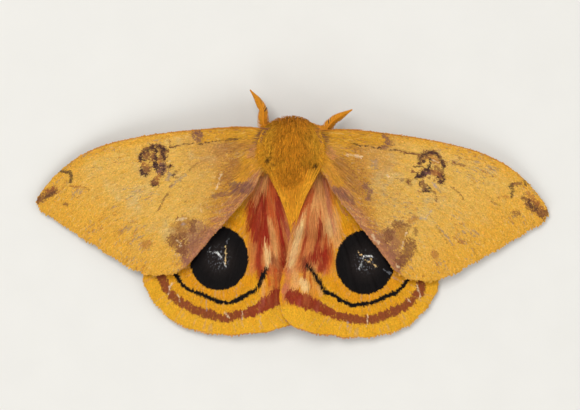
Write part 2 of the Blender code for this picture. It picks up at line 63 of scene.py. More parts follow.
def tone(red, green, blue):
    """A colour as the screen shows it, from 0 to 255, turned into light."""
    shown = np.array((red, green, blue)) / 255
    return np.where(shown <= 0.04045, shown / 12.92, ((shown + 0.055) / 1.055) ** 2.4)


def shader_of(material):
    return material.node_tree.nodes["Principled BSDF"]


def new_material(name, roughness, specular=0.08):
    material = bpy.data.materials.new(name)
    material.use_nodes = True
    shader_of(material).inputs["Roughness"].default_value = roughness
    shader_of(material).inputs["Specular IOR Level"].default_value = specular
    return material


def add_node(material, kind, **settings):
    node = material.node_tree.nodes.new(kind)
    for name, value in settings.items():
        setattr(node, name, value)
    return node


def join_up(material, source, target):
    material.node_tree.links.new(source, target)


def colour_from(material, colour):
    join_up(material, colour, shader_of(material).inputs["Base Color"])


def add_noise(material, size):
    """Noise in the model's own space, with grains of about the given size."""
    place = add_node(material, "ShaderNodeTexCoord")
    noise = add_node(material, "ShaderNodeTexNoise")
    noise.inputs["Scale"].default_value = 1 / (size * MM)
    noise.inputs["Detail"].default_value = NOISE_DETAIL
    join_up(material, place.outputs["Object"], noise.inputs["Vector"])
    return noise.outputs["Fac"]


def add_bump(material, height, depth):
    bump = add_node(material, "ShaderNodeBump")
    bump.inputs["Distance"].default_value = depth * MM
    join_up(material, height, bump.inputs["Height"])
    join_up(material, bump.outputs["Normal"], shader_of(material).inputs["Normal"])


def add_ramp(material, amount, *stops):
    """Colours along an amount from 0 to 1, each stop a place and a colour."""
    ramp = add_node(material, "ShaderNodeValToRGB")
    spots = ramp.color_ramp.elements
    for number, (place, colour) in enumerate(stops):
        spot = spots[number] if number < 2 else spots.new(place)
        spot.position = place
        spot.color = (*tone(*colour), 1.0)
    join_up(material, amount, ramp.inputs["Fac"])
    return ramp.outputs["Color"]


def place_in_scene(name, data):
    obj = bpy.data.objects.new(name, data)
    bpy.context.scene.collection.objects.link(obj)
    return obj


board_paint = new_material("board_paint", 0.75)
board_grain = add_noise(board_paint, BOARD_GRAIN)
board_shade = add_ramp(board_paint, board_grain, (0.3, (225, 223, 217)), (0.7, (227, 225, 219)))
colour_from(board_paint, board_shade)
board_corners = ((-1, -1), (1, -1), (1, 1), (-1, 1))
board_mesh = bpy.data.meshes.new("board")
board_mesh.from_pydata(
    [(x * BOARD_WIDTH / 2, y * BOARD_WIDTH / 2, 0) for x, y in board_corners], [], [(0, 1, 2, 3)]
)
board_mesh.materials.append(board_paint)
board = place_in_scene("board", board_mesh)

for lamp_name, lamp_place, lamp_size, lamp_power in LAMPS:
    lamp_data = bpy.data.lights.new(lamp_name, "AREA")
    lamp_data.size = lamp_size
    lamp_data.energy = lamp_power
    lamp = place_in_scene(lamp_name, lamp_data)
    lamp.location = lamp_place
    lamp.rotation_euler = Vector(lamp_place).to_track_quat("Z", "Y").to_euler()

sky = bpy.data.worlds.new("sky")
bpy.context.scene.world = sky
sky.use_nodes = True
sky_light = sky.node_tree.nodes["Background"]
sky_light.inputs["Color"].default_value = (1.0, 1.0, 1.0, 1.0)
sky_light.inputs["Strength"].default_value = SKY_STRENGTH
bpy.context.scene.view_settings.view_transform = "Standard"

camera_data = bpy.data.cameras.new("camera")
camera_data.lens = LENS
camera_data.sensor_width = SENSOR
camera_data.clip_start = 0.01
camera = place_in_scene("camera", camera_data)
camera_height = CAMERA_AIM[2] + FIELD_WIDTH * LENS / SENSOR
camera.location = (CAMERA_AIM[0] * MM, CAMERA_AIM[1] * MM, camera_height * MM)
camera.rotation_euler = (0.0, 0.0, math.radians(CAMERA_TURN))
bpy.context.scene.camera = camera

# The forewings' membranes. Each is a thin stiff sheet of chitin stretched over a fan of veins,
# thickest along its front edge, and hinged in the side of the thorax.
RIGHT, LEFT = 1, -1
SIDES = ((LEFT, "left"), (RIGHT, "right"))
FORE_COSTA = (
    (3.0, 11.2), (7.4, 11.4), (12.5, 11.0), (16.7, 10.5), (20.6, 9.85), (24.5, 8.9),
    (27.5, 7.65), (30.0, 6.0), (32.0, 4.1), (33.4, 2.3), (34.15, 0.9),
)
FORE_MARGIN = (
    (34.15, 0.9), (33.9, 0.1), (33.1, -0.6), (31.2, -1.7), (28.0, -3.7), (24.9, -5.5),
    (22.0, -7.2), (19.9, -8.1), (17.7, -8.4), (15.9, -8.15), (14.6, -7.65), (13.8, -6.95),
)
FORE_INNER = (
    (3.0, 7.0), (4.2, 5.3), (5.0, 3.7), (6.6, 1.6), (8.2, -0.3), (10.6, -3.1), (12.4, -5.3),
    (13.8, -6.95),
)
# Main veins: share of the way from the front edge to the inner one at the root and at the
# margin, and share of the wing's length at which the vein starts.
FORE_VEINS = (
    (0.24, 0.07, 0.0), (0.34, 0.21, 0.48), (0.43, 0.35, 0.48), (0.53, 0.49, 0.0),
    (0.59, 0.63, 0.0), (0.65, 0.78, 0.0), (0.85, 0.92, 0.0),
)
FORE_CELL = 0.48
FORE_ROOT_X, FORE_ROOT_Z, FORE_TIP_Z, FORE_SPAN = 3.6, 5.8, 1.0, 30.6
FORE_SAG = 0.035
FRONT_LINE, FRONT_BEND = 11.4, 0.0095  # the front edge, from which the wing sags backwards
SCALLOP = 0.16
MEMBRANE = 0.1
VEIN_RISE, VEIN_WIDTH = 0.16, 0.17
EDGE_RISE, EDGE_WIDTH = 0.2, 0.3
WING_LENGTH = 31.0  # turns a share of the way out into a distance, for the closing vein
WING_ROWS, WING_COLUMNS = 170, 96
RIM = 0.988  # the fringe takes the rest of the way to the outline


def smoothstep(low, high, value):
    share = np.clip((value - low) / (high - low), 0.0, 1.0)
    return share * share * (3 - 2 * share)


def curve_through(points, count=240):
    """Evenly spaced points along a smooth curve through the given ones."""
    knots = np.array(points, float)
    ends = np.vstack([2 * knots[0] - knots[1], knots, 2 * knots[-1] - knots[-2]])
    t = np.linspace(0, 1, 12, endpoint=False)[:, None]
    pieces = [
        0.5 * (2 * b + (c - a) * t + (2 * a - 5 * b + 4 * c - d) * t**2
               + (3 * b - a - 3 * c + d) * t**3)
        for a, b, c, d in zip(ends, ends[1:], ends[2:], ends[3:])
    ]
    fine = np.vstack(pieces + [knots[-1:]])
    run = np.concatenate([[0], np.cumsum(np.linalg.norm(np.diff(fine, axis=0), axis=1))])
    want = np.linspace(0, run[-1], count)
    return np.stack([np.interp(want, run, column) for column in fine.T], axis=1)


def along(row, share):
    """The point at a share of the way along an evenly spaced row of points."""
    at = np.asarray(share) * (len(row) - 1)
    index = np.arange(len(row))
    return np.stack([np.interp(at, index, column) for column in row.T], axis=-1)


def wing_plan(outline, veins, out, across):
    """Where a share of the way out and a share of the way across lie, seen from above."""
    front, outer, back = outline
    weight = across[..., None]
    end = outer[0] + (outer[-1] - outer[0]) * weight
    chord = along(front, out) * (1 - weight) + along(back, out) * weight
    spot = chord + (along(outer, across) - end) * out[..., None]
    inward = along(front, np.full(out.shape, 0.4)) - spot
    inward /= np.linalg.norm(inward, axis=-1, keepdims=True)
    ends = np.array([0.0] + [vein[1] for vein in veins] + [1.0])
    gap = np.clip(np.searchsorted(ends, across, side="right") - 1, 0, len(ends) - 2)
    between = (across - ends[gap]) / (ends[gap + 1] - ends[gap])
    bay = SCALLOP * np.sin(np.pi * between) ** 2 * smoothstep(0.93, 1.0, out)
    return spot + inward * bay[..., None]


def vein_rise(veins, cell, out, across, chord):
    """How far the veins lift the membrane, from 0 to 1, at a chord of that many millimetres."""
    rise = np.zeros(out.shape)
    for root, margin, start in veins:
        gap = np.abs(across - root - (margin - root) * out**0.8) * chord
        rise = np.maximum(rise, np.exp(-((gap / VEIN_WIDTH) ** 2)) * (out >= start))
    closing = (across > veins[0][0]) & (across < veins[3][0])
    gap = (out - cell) * WING_LENGTH
    rise = np.maximum(rise, np.exp(-((gap / VEIN_WIDTH) ** 2)) * closing)
    return rise


def fore_height(x, y, side):
    """The height of the forewing's middle surface, the same on both sides."""
    out = np.clip((np.abs(x) - FORE_ROOT_X) / FORE_SPAN, 0.0, 1.0)
    behind = np.maximum(0.0, FRONT_LINE - FRONT_BEND * x * x - y)
    return FORE_TIP_Z + (FORE_ROOT_Z - FORE_TIP_Z) * (1 - out) ** 1.2 - FORE_SAG * behind


def wing_grid(outline, veins, cell, height, side):
    """A wing's top and under surfaces as grids of points, and the shares they stand at."""
    out, across = np.meshgrid(
        np.linspace(0, RIM, WING_ROWS), np.linspace(0, 1, WING_COLUMNS), indexing="ij"
    )
    plan = wing_plan(outline, veins, out, across)
    chord = np.linalg.norm(plan[:, -1] - plan[:, 0], axis=-1)[:, None]
    middle = height(plan[..., 0], plan[..., 1], side)
    rise = MEMBRANE / 2 + VEIN_RISE * vein_rise(veins, cell, out, across, chord)
    rise += EDGE_RISE * np.exp(-((across * chord / EDGE_WIDTH) ** 2)) * (1 - 0.6 * out)
    x = plan[..., 0] * side
    top = np.stack([x, plan[..., 1], middle + rise], axis=-1)
    under = np.stack([x, plan[..., 1], middle - rise], axis=-1)
    rim = np.zeros(out.shape, bool)
    rim[[0, -1], :] = True
    rim[:, [0, -1]] = True
    top[rim, 2] = middle[rim]
    return top, under, out, across


def mottle(x, y, size, seed):
    """Smooth noise from -1 to 1 with patches of about the given size."""
    table = np.random.default_rng(seed).uniform(-1, 1, (64, 64))
    u, v = x / size, y / size
    i, j = np.floor(u).astype(int), np.floor(v).astype(int)
    u, v = smoothstep(0, 1, u - i), smoothstep(0, 1, v - j)
    low = table[i % 64, j % 64] * (1 - u) + table[(i + 1) % 64, j % 64] * u
    high = table[i % 64, (j + 1) % 64] * (1 - u) + table[(i + 1) % 64, (j + 1) % 64] * u
    return low * (1 - v) + high * v


def distance_to(points, x, y):
    """How far each place lies from a line through the given points."""
    nearest = np.full(x.shape, 1e9)
    for (ax, ay), (bx, by) in zip(points, points[1:]):
        length = (bx - ax) ** 2 + (by - ay) ** 2
        share = np.clip(((x - ax) * (bx - ax) + (y - ay) * (by - ay)) / length, 0, 1)
        gap = np.hypot(x - ax - share * (bx - ax), y - ay - share * (by - ay))
        nearest = np.minimum(nearest, gap)
    return nearest


def all_over(shade, places):
    """One colour at every place."""
    return np.tile(tone(*shade), places.shape + (1,))


def tint(colours, shade, amount):
    colours += (tone(*shade) - colours) * np.clip(amount, 0, 1)[..., None]


def taken(draw, amount, blend=0.2):
    """How far each scale takes a colour that this share of the scales takes."""
    return smoothstep(draw - blend, draw + blend, amount)


def paint_marks(colours, marks, x, y, draw, blend=0.2):
    """Lays each mark on in turn, with a soft rim and gaps that follow the scales."""
    ragged_x, ragged_y = (
        place + 0.11 * mottle(x, y, 0.26, seed) + 0.12 * mottle(x, y, 0.9, seed + 2)
        for place, seed in ((x, 11), (y, 12))
    )
    patchy = mottle(x, y, 0.27, 15)
    uneven = 1.2 - 0.5 * draw
    for shade, strength, width, *points in marks:
        if len(points) > 1:
            half = width / 2
            gap = distance_to(points, ragged_x, ragged_y) - half
        else:
            half = min(width)
            (middle_x, middle_y), (half_x, half_y) = points[0], width
            gap = np.hypot((ragged_x - middle_x) / half_x, (ragged_y - middle_y) / half_y)
            gap = (gap - 1) * half
        rim = min(0.62, 0.1 + 0.7 * half)
        worn = 0.6 if half < 0.1 else 0.42
        amount = smoothstep(rim, -rim, gap) * (1.0 + worn * patchy)
        tint(colours, shade, np.minimum(1.0, strength * uneven) * taken(draw, amount, blend))


# Marks on the wings: colour, strength, width or half widths, and points to the moth's right
# and forwards. One point makes a blot, and more make a line.
BROWN, DARK, PURPLE = (128, 77, 52), (66, 44, 42), (126, 82, 74)
RUST, PINKISH, PALE, GREY = (168, 98, 52), (198, 134, 94), (238, 208, 164), (150, 132, 122)
UMBER, WING_BASE_YELLOW, MAUVE = (168, 110, 56), (218, 154, 40), (158, 108, 88)
MAUVE_BROWN, LILAC, GOLD = (154, 100, 78), (178, 156, 150), (230, 182, 86)
CLOVER_RIM = {
    LEFT: ((-20.3, 6.8), (-20.2, 7.5), (-19.7, 8.1), (-19.0, 8.5), (-18.2, 8.6), (-17.3, 8.6),
           (-16.9, 8.1)),
    RIGHT: ((16.7, 7.3), (16.7, 8.0), (17.2, 8.5), (17.9, 8.7), (18.7, 8.6), (19.3, 8.0),
            (19.7, 7.5), (20.1, 7.1)),
}
FORE_MARKS = {LEFT: (
    (WING_BASE_YELLOW, 0.8, 2.3, (-4.4, 7.5), (-5.8, 6.5), (-6.9, 5.2)),
    (UMBER, 0.45, 1.5, (-5.4, 9.2), (-8.4, 8.7), (-9.9, 8.3)),
    (PINKISH, 0.6, 0.9, (-4.9, 8.9), (-5.6, 7.8)),
    (UMBER, 0.6, 1.7, (-7.6, 6.5), (-8.0, 5.5), (-9.2, 4.6)),
    (PURPLE, 0.75, (1.0, 0.7), (-6.2, 3.4)),
    (PURPLE, 0.6, (0.71, 0.61), (-7.7, 3.6)),
    (PURPLE, 0.6, 0.6, (-6.5, 2.9), (-7.7, 2.9), (-9.2, 2.6), (-10.3, 2.2)),
    (PALE, 0.75, 0.16, (-9.5, 5.2), (-9.7, 4.2), (-10.0, 3.3)),
    (PALE, 0.6, 0.16, (-12.0, 1.1), (-11.9, 0.3)),
    (BROWN, 0.7, (0.18, 0.16), (-14.1, 1.5)),
    (PURPLE, 0.8, (0.61, 0.66), (-12.6, 10.1)),
    (PURPLE, 0.55, (0.46, 0.3), (-13.1, 10.6)),
    (DARK, 0.8, 0.12, (-16.4, 8.7), (-14.2, 9.0), (-12.6, 9.1), (-11.7, 9.3), (-10.4, 9.5),
                      (-9.0, 9.7), (-6.7, 9.9)),
    (BROWN, 0.7, 0.2, (-17.8, 0.4), (-17.1, 1.5), (-16.6, 2.4)),
    (GREY, 0.6, 0.34, (-16.1, 3.4), (-15.1, 4.3), (-14.3, 4.9)),
    (BROWN, 0.55, 0.16, (-16.3, 3.3), (-15.5, 4.5), (-14.6, 5.0)),
    (BROWN, 0.5, 0.16, (-14.1, 5.3), (-13.3, 6.0), (-12.5, 6.5)),
    (UMBER, 0.45, 0.2, (-12.5, 6.5), (-11.4, 7.1)),
    (PURPLE, 0.85, 0.55, (-4.1, 10.9), (-4.6, 10.2)),
    (PURPLE, 0.5, 0.4, (-5.1, 9.9), (-4.9, 9.0)),
    (BROWN, 0.85, 0.66, *CLOVER_RIM[LEFT]),
    (BROWN, 0.9, 1.3, (-19.6, 7.4), (-19.0, 7.5)),
    (BROWN, 0.9, 1.15, (-17.4, 8.1), (-17.3, 7.3)),
    (BROWN, 0.85, 0.6, (-18.3, 7.9), (-18.2, 6.2)),
    (BROWN, 0.9, (0.78, 0.76), (-19.6, 5.6)),
    (PURPLE, 0.95, (0.88, 0.76), (-17.4, 5.7)),
    (PURPLE, 0.8, 0.5, (-18.3, 6.1), (-17.9, 5.9)),
    (BROWN, 0.95, (0.52, 0.5), (-18.2, 3.9)),
    (RUST, 0.8, 0.46, (-17.7, 4.9), (-17.9, 4.3)),
    (GOLD, 0.75, 0.22, (-19.19, 8.32), (-18.92, 7.75)),
    (GOLD, 0.6, 0.2, (-17.92, 8.4), (-17.84, 7.78)),
    (RUST, 0.7, 0.5, (-19.9, 6.3), (-19.3, 6.2)),
    (RUST, 0.7, 0.4, (-18.0, 7.1), (-17.8, 6.7)),
    (DARK, 0.8, 0.34, *CLOVER_RIM[LEFT]),
    (DARK, 0.9, 0.42, (-20.3, 7.0), (-19.8, 6.9)),
    (DARK, 0.85, 0.45, (-17.2, 8.4), (-17.3, 7.8), (-17.0, 7.0)),
    (DARK, 0.9, 0.46, (-18.3, 8.1), (-18.2, 7.3), (-18.2, 6.5), (-18.2, 5.7)),
    (DARK, 0.85, 0.34, (-20.1, 5.7), (-20.0, 5.1), (-19.4, 4.9)),
    (DARK, 0.8, 0.4, (-17.2, 6.1), (-17.0, 5.5), (-17.3, 5.1)),
    (DARK, 0.6, (0.3, 0.24), (-17.7, 5.9)),
    (DARK, 0.85, 0.3, (-18.5, 3.6), (-17.9, 3.5)),
    (BROWN, 0.9, (0.3, 0.24), (-16.2, 6.2)),
    (DARK, 0.8, 0.2, (-16.68, 6.01), (-16.14, 6.29)),
    (GREY, 0.6, 0.5, (-16.2, 5.0), (-16.7, 4.3)),
    (DARK, 0.75, (0.26, 0.24), (-15.8, 5.0)),
    (BROWN, 0.6, 0.2, (-15.48, 5.46), (-15.88, 4.55)),
    (BROWN, 0.5, (0.14, 0.12), (-16.3, 4.1)),
    (PALE, 0.5, (0.14, 0.14), (-16.4, 6.7)),
    (BROWN, 0.7, 0.18, (-16.34, 9.62), (-16.35, 8.77), (-15.89, 8.67), (-14.96, 8.81)),
    (UMBER, 0.65, (1.1, 1.5), (-14.1, -2.1)),
    (MAUVE_BROWN, 0.6, 1.9, (-11.1, -2.7), (-12.6, -4.3), (-13.7, -5.9)),
    (PINKISH, 0.65, 0.26, (-10.7, -2.7), (-12.1, -4.4), (-13.2, -6.0)),
    (UMBER, 0.6, 0.24, (-11.3, -2.2), (-12.9, -3.9), (-13.9, -5.2)),
    (MAUVE_BROWN, 0.55, 1.1, (-13.0, -3.4), (-14.2, -5.0)),
    (MAUVE_BROWN, 0.55, 2.0, (-12.4, -2.0), (-13.4, -3.7), (-14.3, -5.2)),
    (UMBER, 0.5, 2.2, (-15.2, -2.3), (-14.9, -4.2)),
    (BROWN, 0.75, 1.5, (-15.7, -3.6), (-14.7, -4.1), (-14.6, -5.0)),
    (BROWN, 0.7, 0.9, (-13.0, -1.2), (-13.0, -2.2)),
    (BROWN, 0.6, 0.7, (-14.2, -2.9), (-15.1, -3.1)),
    (MAUVE_BROWN, 0.8, 0.7, (-14.2, -6.1), (-13.7, -6.8)),
    (BROWN, 0.85, 0.22, (-15.07, -0.57), (-15.5, -1.29)),
    (PALE, 0.6, 0.3, (-15.1, -1.1), (-14.0, -0.8)),
    (LILAC, 0.6, (0.24, 0.16), (-14.3, -1.5)),
    (PALE, 0.7, 0.14, (-14.76, -3.73), (-14.58, -4.49)),
    (PALE, 0.7, (0.16, 0.12), (-15.0, -3.8)),
    (PALE, 0.7, 0.16, (-15.32, -5.52), (-14.8, -5.71)),
    (RUST, 0.6, (0.6, 0.5), (-19.2, -4.3)),
    (RUST, 0.45, (0.4, 0.3), (-22.7, -2.8)),
    (DARK, 0.8, 0.34, (-31.4, 5.2), (-30.7, 5.1), (-30.1, 4.9), (-29.5, 4.9), (-29.4, 4.4),
                      (-29.6, 3.7)),
    (RUST, 0.6, 0.22, (-29.5, 3.1), (-28.5, 3.2), (-27.7, 3.2), (-27.1, 2.8)),
    (BROWN, 0.9, 0.95, (-33.9, 1.3), (-32.9, 1.9), (-31.8, 2.6)),
    (DARK, 0.5, 0.5, (-32.9, 1.6), (-31.9, 2.4)),
    (RUST, 0.5, 0.6, (-31.6, 3.0), (-32.9, 2.5)),
    (BROWN, 0.75, (0.3, 0.3), (-30.2, 0.8)),
), RIGHT: (
    (WING_BASE_YELLOW, 0.8, 2.0, (4.2, 7.6), (5.1, 6.0), (6.0, 4.8)),
    (PINKISH, 0.6, 1.0, (4.4, 8.8), (5.2, 7.9)),
    (UMBER, 0.6, 2.0, (6.2, 6.8), (7.4, 5.2), (8.6, 4.0)),
    (PURPLE, 0.6, 0.9, (5.8, 3.4), (6.7, 2.7), (7.5, 2.2)),
    (PURPLE, 0.7, 0.8, (9.6, 4.0), (10.2, 3.2), (9.9, 2.5)),
    (PALE, 0.75, 0.3, (6.9, 8.2), (7.9, 8.1), (8.9, 7.9)),
    (PALE, 0.7, 0.24, (12.4, 5.6), (12.9, 5.3)),
    (GREY, 0.45, (0.5, 0.66), (10.7, 7.0)),
    (PURPLE, 0.75, 0.6, (11.9, 10.8), (12.4, 10.3), (12.2, 9.8), (11.6, 9.1)),
    (PURPLE, 0.5, (0.46, 0.36), (12.6, 9.7)),
    (PURPLE, 0.75, 0.3, (3.9, 10.6), (4.2, 9.8)),
    (DARK, 0.85, 0.13, (7.7, 9.6), (8.9, 9.4), (10.1, 9.2), (11.3, 9.1)),
    (DARK, 0.75, 0.12, (12.5, 8.9), (13.6, 8.8), (14.9, 8.6), (16.8, 8.4)),
    (BROWN, 0.6, 0.24, (7.1, 8.9), (8.1, 8.7)),
    (GOLD, 0.9, (1.3, 0.9), (18.3, 4.9)),
    (BROWN, 0.6, (0.2, 0.16), (18.0, 5.2)),
    (BROWN, 0.6, (0.16, 0.2), (18.6, 5.0)),
    (BROWN, 0.85, 0.7, *CLOVER_RIM[RIGHT]),
    (BROWN, 0.75, 0.6, (17.1, 7.5), (17.5, 8.2), (18.1, 8.5)),
    (RUST, 0.7, 0.9, (18.2, 7.8), (18.9, 7.6)),
    (BROWN, 0.8, 0.8, (18.8, 6.7), (19.6, 5.9)),
    (RUST, 0.8, 0.8, (18.3, 6.1), (19.2, 5.8)),
    (BROWN, 0.9, 1.0, (16.9, 5.7), (17.9, 6.2)),
    (BROWN, 0.9, (0.6, 0.7), (19.5, 5.3)),
    (BROWN, 0.8, 0.8, (17.0, 4.6), (17.5, 3.9)),
    (GOLD, 0.7, 0.2, (17.2, 7.0), (17.57, 6.64)),
    (GOLD, 0.7, 0.2, (18.56, 7.18), (19.3, 6.77)),
    (PALE, 0.7, 0.1, (18.09, 7.89), (19.01, 7.4)),
    (DARK, 0.8, 0.36, *CLOVER_RIM[RIGHT]),
    (DARK, 0.8, 0.4, (16.9, 7.3), (17.3, 7.5)),
    (DARK, 0.8, 0.3, (19.7, 6.7), (20.1, 7.0)),
    (DARK, 0.95, 0.4, (18.0, 7.8), (17.9, 6.9), (17.9, 6.3)),
    (DARK, 0.9, 0.62, (17.8, 6.3), (17.1, 5.8), (16.6, 5.6)),
    (DARK, 0.9, (0.3, 0.3), (16.5, 5.4)),
    (PURPLE, 0.8, 0.4, (17.5, 6.0), (18.1, 5.8)),
    (DARK, 0.85, 0.4, (19.7, 5.7), (19.9, 5.1), (19.4, 4.8)),
    (DARK, 0.6, 0.34, (19.0, 5.4), (19.4, 5.0)),
    (DARK, 0.9, (0.46, 0.4), (17.8, 3.8)),
    (DARK, 0.75, 0.3, (16.8, 4.8), (16.7, 4.4)),
    (DARK, 0.8, 0.3, (17.2, 3.6), (17.9, 3.5)),
    (BROWN, 0.9, 0.26, (15.6, 6.1), (16.0, 6.0)),
    (DARK, 0.85, 0.22, (16.07, 6.75), (16.65, 6.8), (17.11, 6.67)),
    (BROWN, 0.8, (0.24, 0.4), (15.3, 4.7)),
    (BROWN, 0.5, 0.4, (15.0, 4.9), (15.6, 4.4)),
    (LILAC, 0.75, 0.4, (18.5, 4.6), (18.8, 4.3)),
    (GREY, 0.6, 0.24, (19.09, 4.04), (19.64, 3.5)),
    (BROWN, 0.7, 0.2, (18.49, 3.57), (19.02, 2.85), (19.04, 2.12)),
    (BROWN, 0.75, 0.18, (14.15, 8.71), (15.61, 8.6), (16.62, 8.44)),
    (BROWN, 0.55, 0.2, (13.41, 5.18), (14.51, 5.03)),
    (UMBER, 0.7, (1.2, 1.6), (14.2, -2.5)),
    (MAUVE_BROWN, 0.6, 1.7, (11.4, -3.1), (12.8, -4.8), (14.0, -6.5)),
    (PINKISH, 0.65, 0.26, (10.9, -3.0), (12.3, -4.8), (13.4, -6.3)),
    (UMBER, 0.6, 0.24, (11.8, -2.9), (13.2, -4.5), (14.1, -5.8)),
    (MAUVE_BROWN, 0.55, 1.1, (12.8, -3.5), (13.9, -5.0)),
    (MAUVE_BROWN, 0.55, 2.0, (12.6, -2.2), (13.4, -3.9), (14.2, -5.5)),
    (BROWN, 0.8, 1.1, (12.8, -1.9), (12.7, -2.9)),
    (BROWN, 0.7, 0.9, (13.6, -1.0), (14.4, -0.8), (15.1, -1.1)),
    (BROWN, 0.8, 1.5, (15.5, -3.4), (15.7, -4.2), (14.9, -5.3), (14.5, -5.9)),
    (BROWN, 0.6, 0.6, (16.2, -1.4), (16.3, -2.1)),
    (RUST, 0.5, 0.7, (16.2, -0.0), (15.4, -0.5)),
    (LILAC, 0.7, 0.2, (16.9, 0.03), (17.45, -0.06)),
    (LILAC, 0.6, 0.16, (17.62, 0.27), (18.33, 1.01)),
    (PALE, 0.8, 0.18, (15.18, -1.97), (14.81, -2.74)),
    (PALE, 0.85, 0.14, (14.69, -3.08), (14.44, -3.99)),
    (PALE, 0.6, 0.32, (10.6, -2.3), (11.0, -2.9), (11.4, -3.3)),
    (PALE, 0.8, 0.26, (13.9, -6.2), (14.3, -6.5)),
    (MAUVE_BROWN, 0.7, (0.16, 0.16), (14.4, -6.8)),
    (RUST, 0.65, (0.55, 0.42), (19.0, -4.8)),
    (RUST, 0.65, (0.48, 0.3), (22.5, -3.1)),
    (RUST, 0.7, 0.2, (17.4, -7.8), (17.6, -7.7)),
    (DARK, 0.8, 0.36, (28.8, 4.5), (29.3, 4.8), (29.2, 4.0), (29.1, 3.1)),
    (BROWN, 0.75, 0.45, (29.4, 4.8), (30.2, 4.8)),
    (DARK, 0.8, 0.34, (30.6, 5.3), (31.0, 4.7)),
    (RUST, 0.55, 0.22, (27.3, 3.0), (28.8, 3.1)),
    (BROWN, 0.8, 0.7, (30.7, 3.0), (31.5, 2.6)),
    (BROWN, 0.9, 1.3, (31.7, 2.1), (32.5, 1.5), (33.5, 1.0)),
    (DARK, 0.5, 0.55, (31.5, 2.4), (32.3, 1.4)),
    (BROWN, 0.65, (0.5, 0.42), (29.7, 0.9)),
    (RUST, 0.6, 0.6, (31.2, 3.6), (33.2, 1.8)),
    (BROWN, 0.7, 0.2, (21.0, 7.4), (22.5, 7.1)),
    (BROWN, 0.6, (0.2, 0.14), (21.9, 8.0)),
    (BROWN, 0.65, 0.17, (20.8, 4.3), (21.6, 3.8), (22.2, 3.2), (22.6, 2.5)),
    (BROWN, 0.6, 0.17, (26.3, 2.5), (27.2, 1.9)),
    (GREY, 0.6, 0.2, (18.6, -0.2), (19.9, -1.6), (21.2, -3.3)),
    (BROWN, 0.45, 0.18, (18.0, 0.4), (18.9, -0.7), (20.6, -3.2)),
)}
ORANGE, BEIGE = (230, 171, 58), (216, 188, 124)
BASE_BROWN, BASE_TAN, MARGIN_PINK = (212, 152, 46), (180, 116, 62), (196, 130, 84)
COSTAL_OCHRE, COSTAL_EDGE, WING_PALE = (216, 156, 42), (200, 120, 44), (240, 206, 132)
FLECK_GREY, FLECK_RUST = (150, 132, 120), (176, 104, 46)


def fore_colours(side, x, y, out, across, chord, draw):
    """The colour of the scales at each place on the upper side of a forewing."""
    away = x * side
    back = across * chord
    inner = chord - back

    # The worn yellow ground, warmer along the front edge and the outer margin.
    colours = all_over(GOLD, x)
    worn = mottle(x, y, 2.6, 3 + side) + 0.7 * mottle(x, y, 0.8, 5 + side)
    tint(colours, BEIGE, smoothstep(-0.1, 1.1, worn) * 0.68)
    rim = smoothstep(0.66, 0.97, out + 0.03 * mottle(x, y, 1.5, 7))
    tint(colours, ORANGE, np.maximum(rim, smoothstep(0.09, 0.02, across)) * 0.95)

    # The brown flush over the root, streaked with the scales, and the ochre front edge.
    streaks = mottle(out * 28, back * 4.2, 1.0, 21 + side)
    fine = mottle(out * 70, back * 9, 1.0, 23 + side)
    base = smoothstep(11.4, 9.0, away + 0.25 * (y - 4) + 0.7 * streaks)
    tint(colours, BASE_BROWN, base * 0.85)
    blush = smoothstep(17.0, 10.5, away + 0.9 * streaks) * smoothstep(7.2, 9.2, away)
    tint(colours, BASE_TAN, blush * (0.24 + 0.26 * smoothstep(4.5, 7.0, y)))
    umber = base * (0.42 + 0.45 * streaks + 0.3 * fine) * smoothstep(4.6, 7.6, away)
    tint(colours, UMBER, taken(draw, umber) * 0.75)
    tint(colours, MAUVE, taken(draw, base * (0.15 - 0.5 * fine - 0.3 * streaks)) * 0.6)
    costal = smoothstep(2.0, 1.5, back) * smoothstep(13.4, 12.0, away)
    tint(colours, COSTAL_OCHRE, costal * 0.9)
    tint(colours, MAUVE, taken(draw, costal * (0.1 + 0.5 * fine)) * 0.5)

    # The pink inner edge.
    pink = smoothstep(3.4 - 1.2 * out, 1.2, inner + 0.7 * streaks) * smoothstep(0.03, 0.12, out)
    pink *= smoothstep(-8.2, -6.6, y)
    tint(colours, MARGIN_PINK, pink * 0.9)
    tint(colours, MAUVE_BROWN, taken(draw, pink * (0.42 + 0.6 * fine)) * 0.75)
    tint(colours, PINKISH, smoothstep(0.25, 0.05, inner) * smoothstep(0.2, 0.4, out) * 0.7)

    # Loose grey, rust, brown and pale scales all over, and the thin red front edge.
    spread = smoothstep(-0.5, 0.5, mottle(x, y, 2.2, 33)) * smoothstep(0.2, 0.5, out)
    fleck = mottle(out * 44, back * 8.5, 1.0, 35 + side)
    tint(colours, FLECK_GREY, taken(draw, smoothstep(0.1, 0.8, fleck) * spread * 0.8) * 0.6)
    fleck = mottle(out * 62, back * 6, 1.0, 37 + side)
    tint(colours, FLECK_RUST, taken(draw, smoothstep(0.2, 0.9, fleck) * spread * 0.75) * 0.55)
    tint(colours, ORANGE, smoothstep(0.2, 0.9, streaks) * 0.5)
    tint(colours, UMBER, taken(draw, smoothstep(0.1, 1.0, fine) * 0.75) * 0.3)
    tint(colours, WING_PALE, taken(draw, smoothstep(0.1, 1.0, -fine) * 0.7) * 0.35)
    edge = smoothstep(0.2, 0.04, back) * smoothstep(0.86, 0.7, out)
    tint(colours, COSTAL_EDGE, edge * 0.7)
    paint_marks(colours, FORE_MARKS[side], x, y, draw)
    return colours


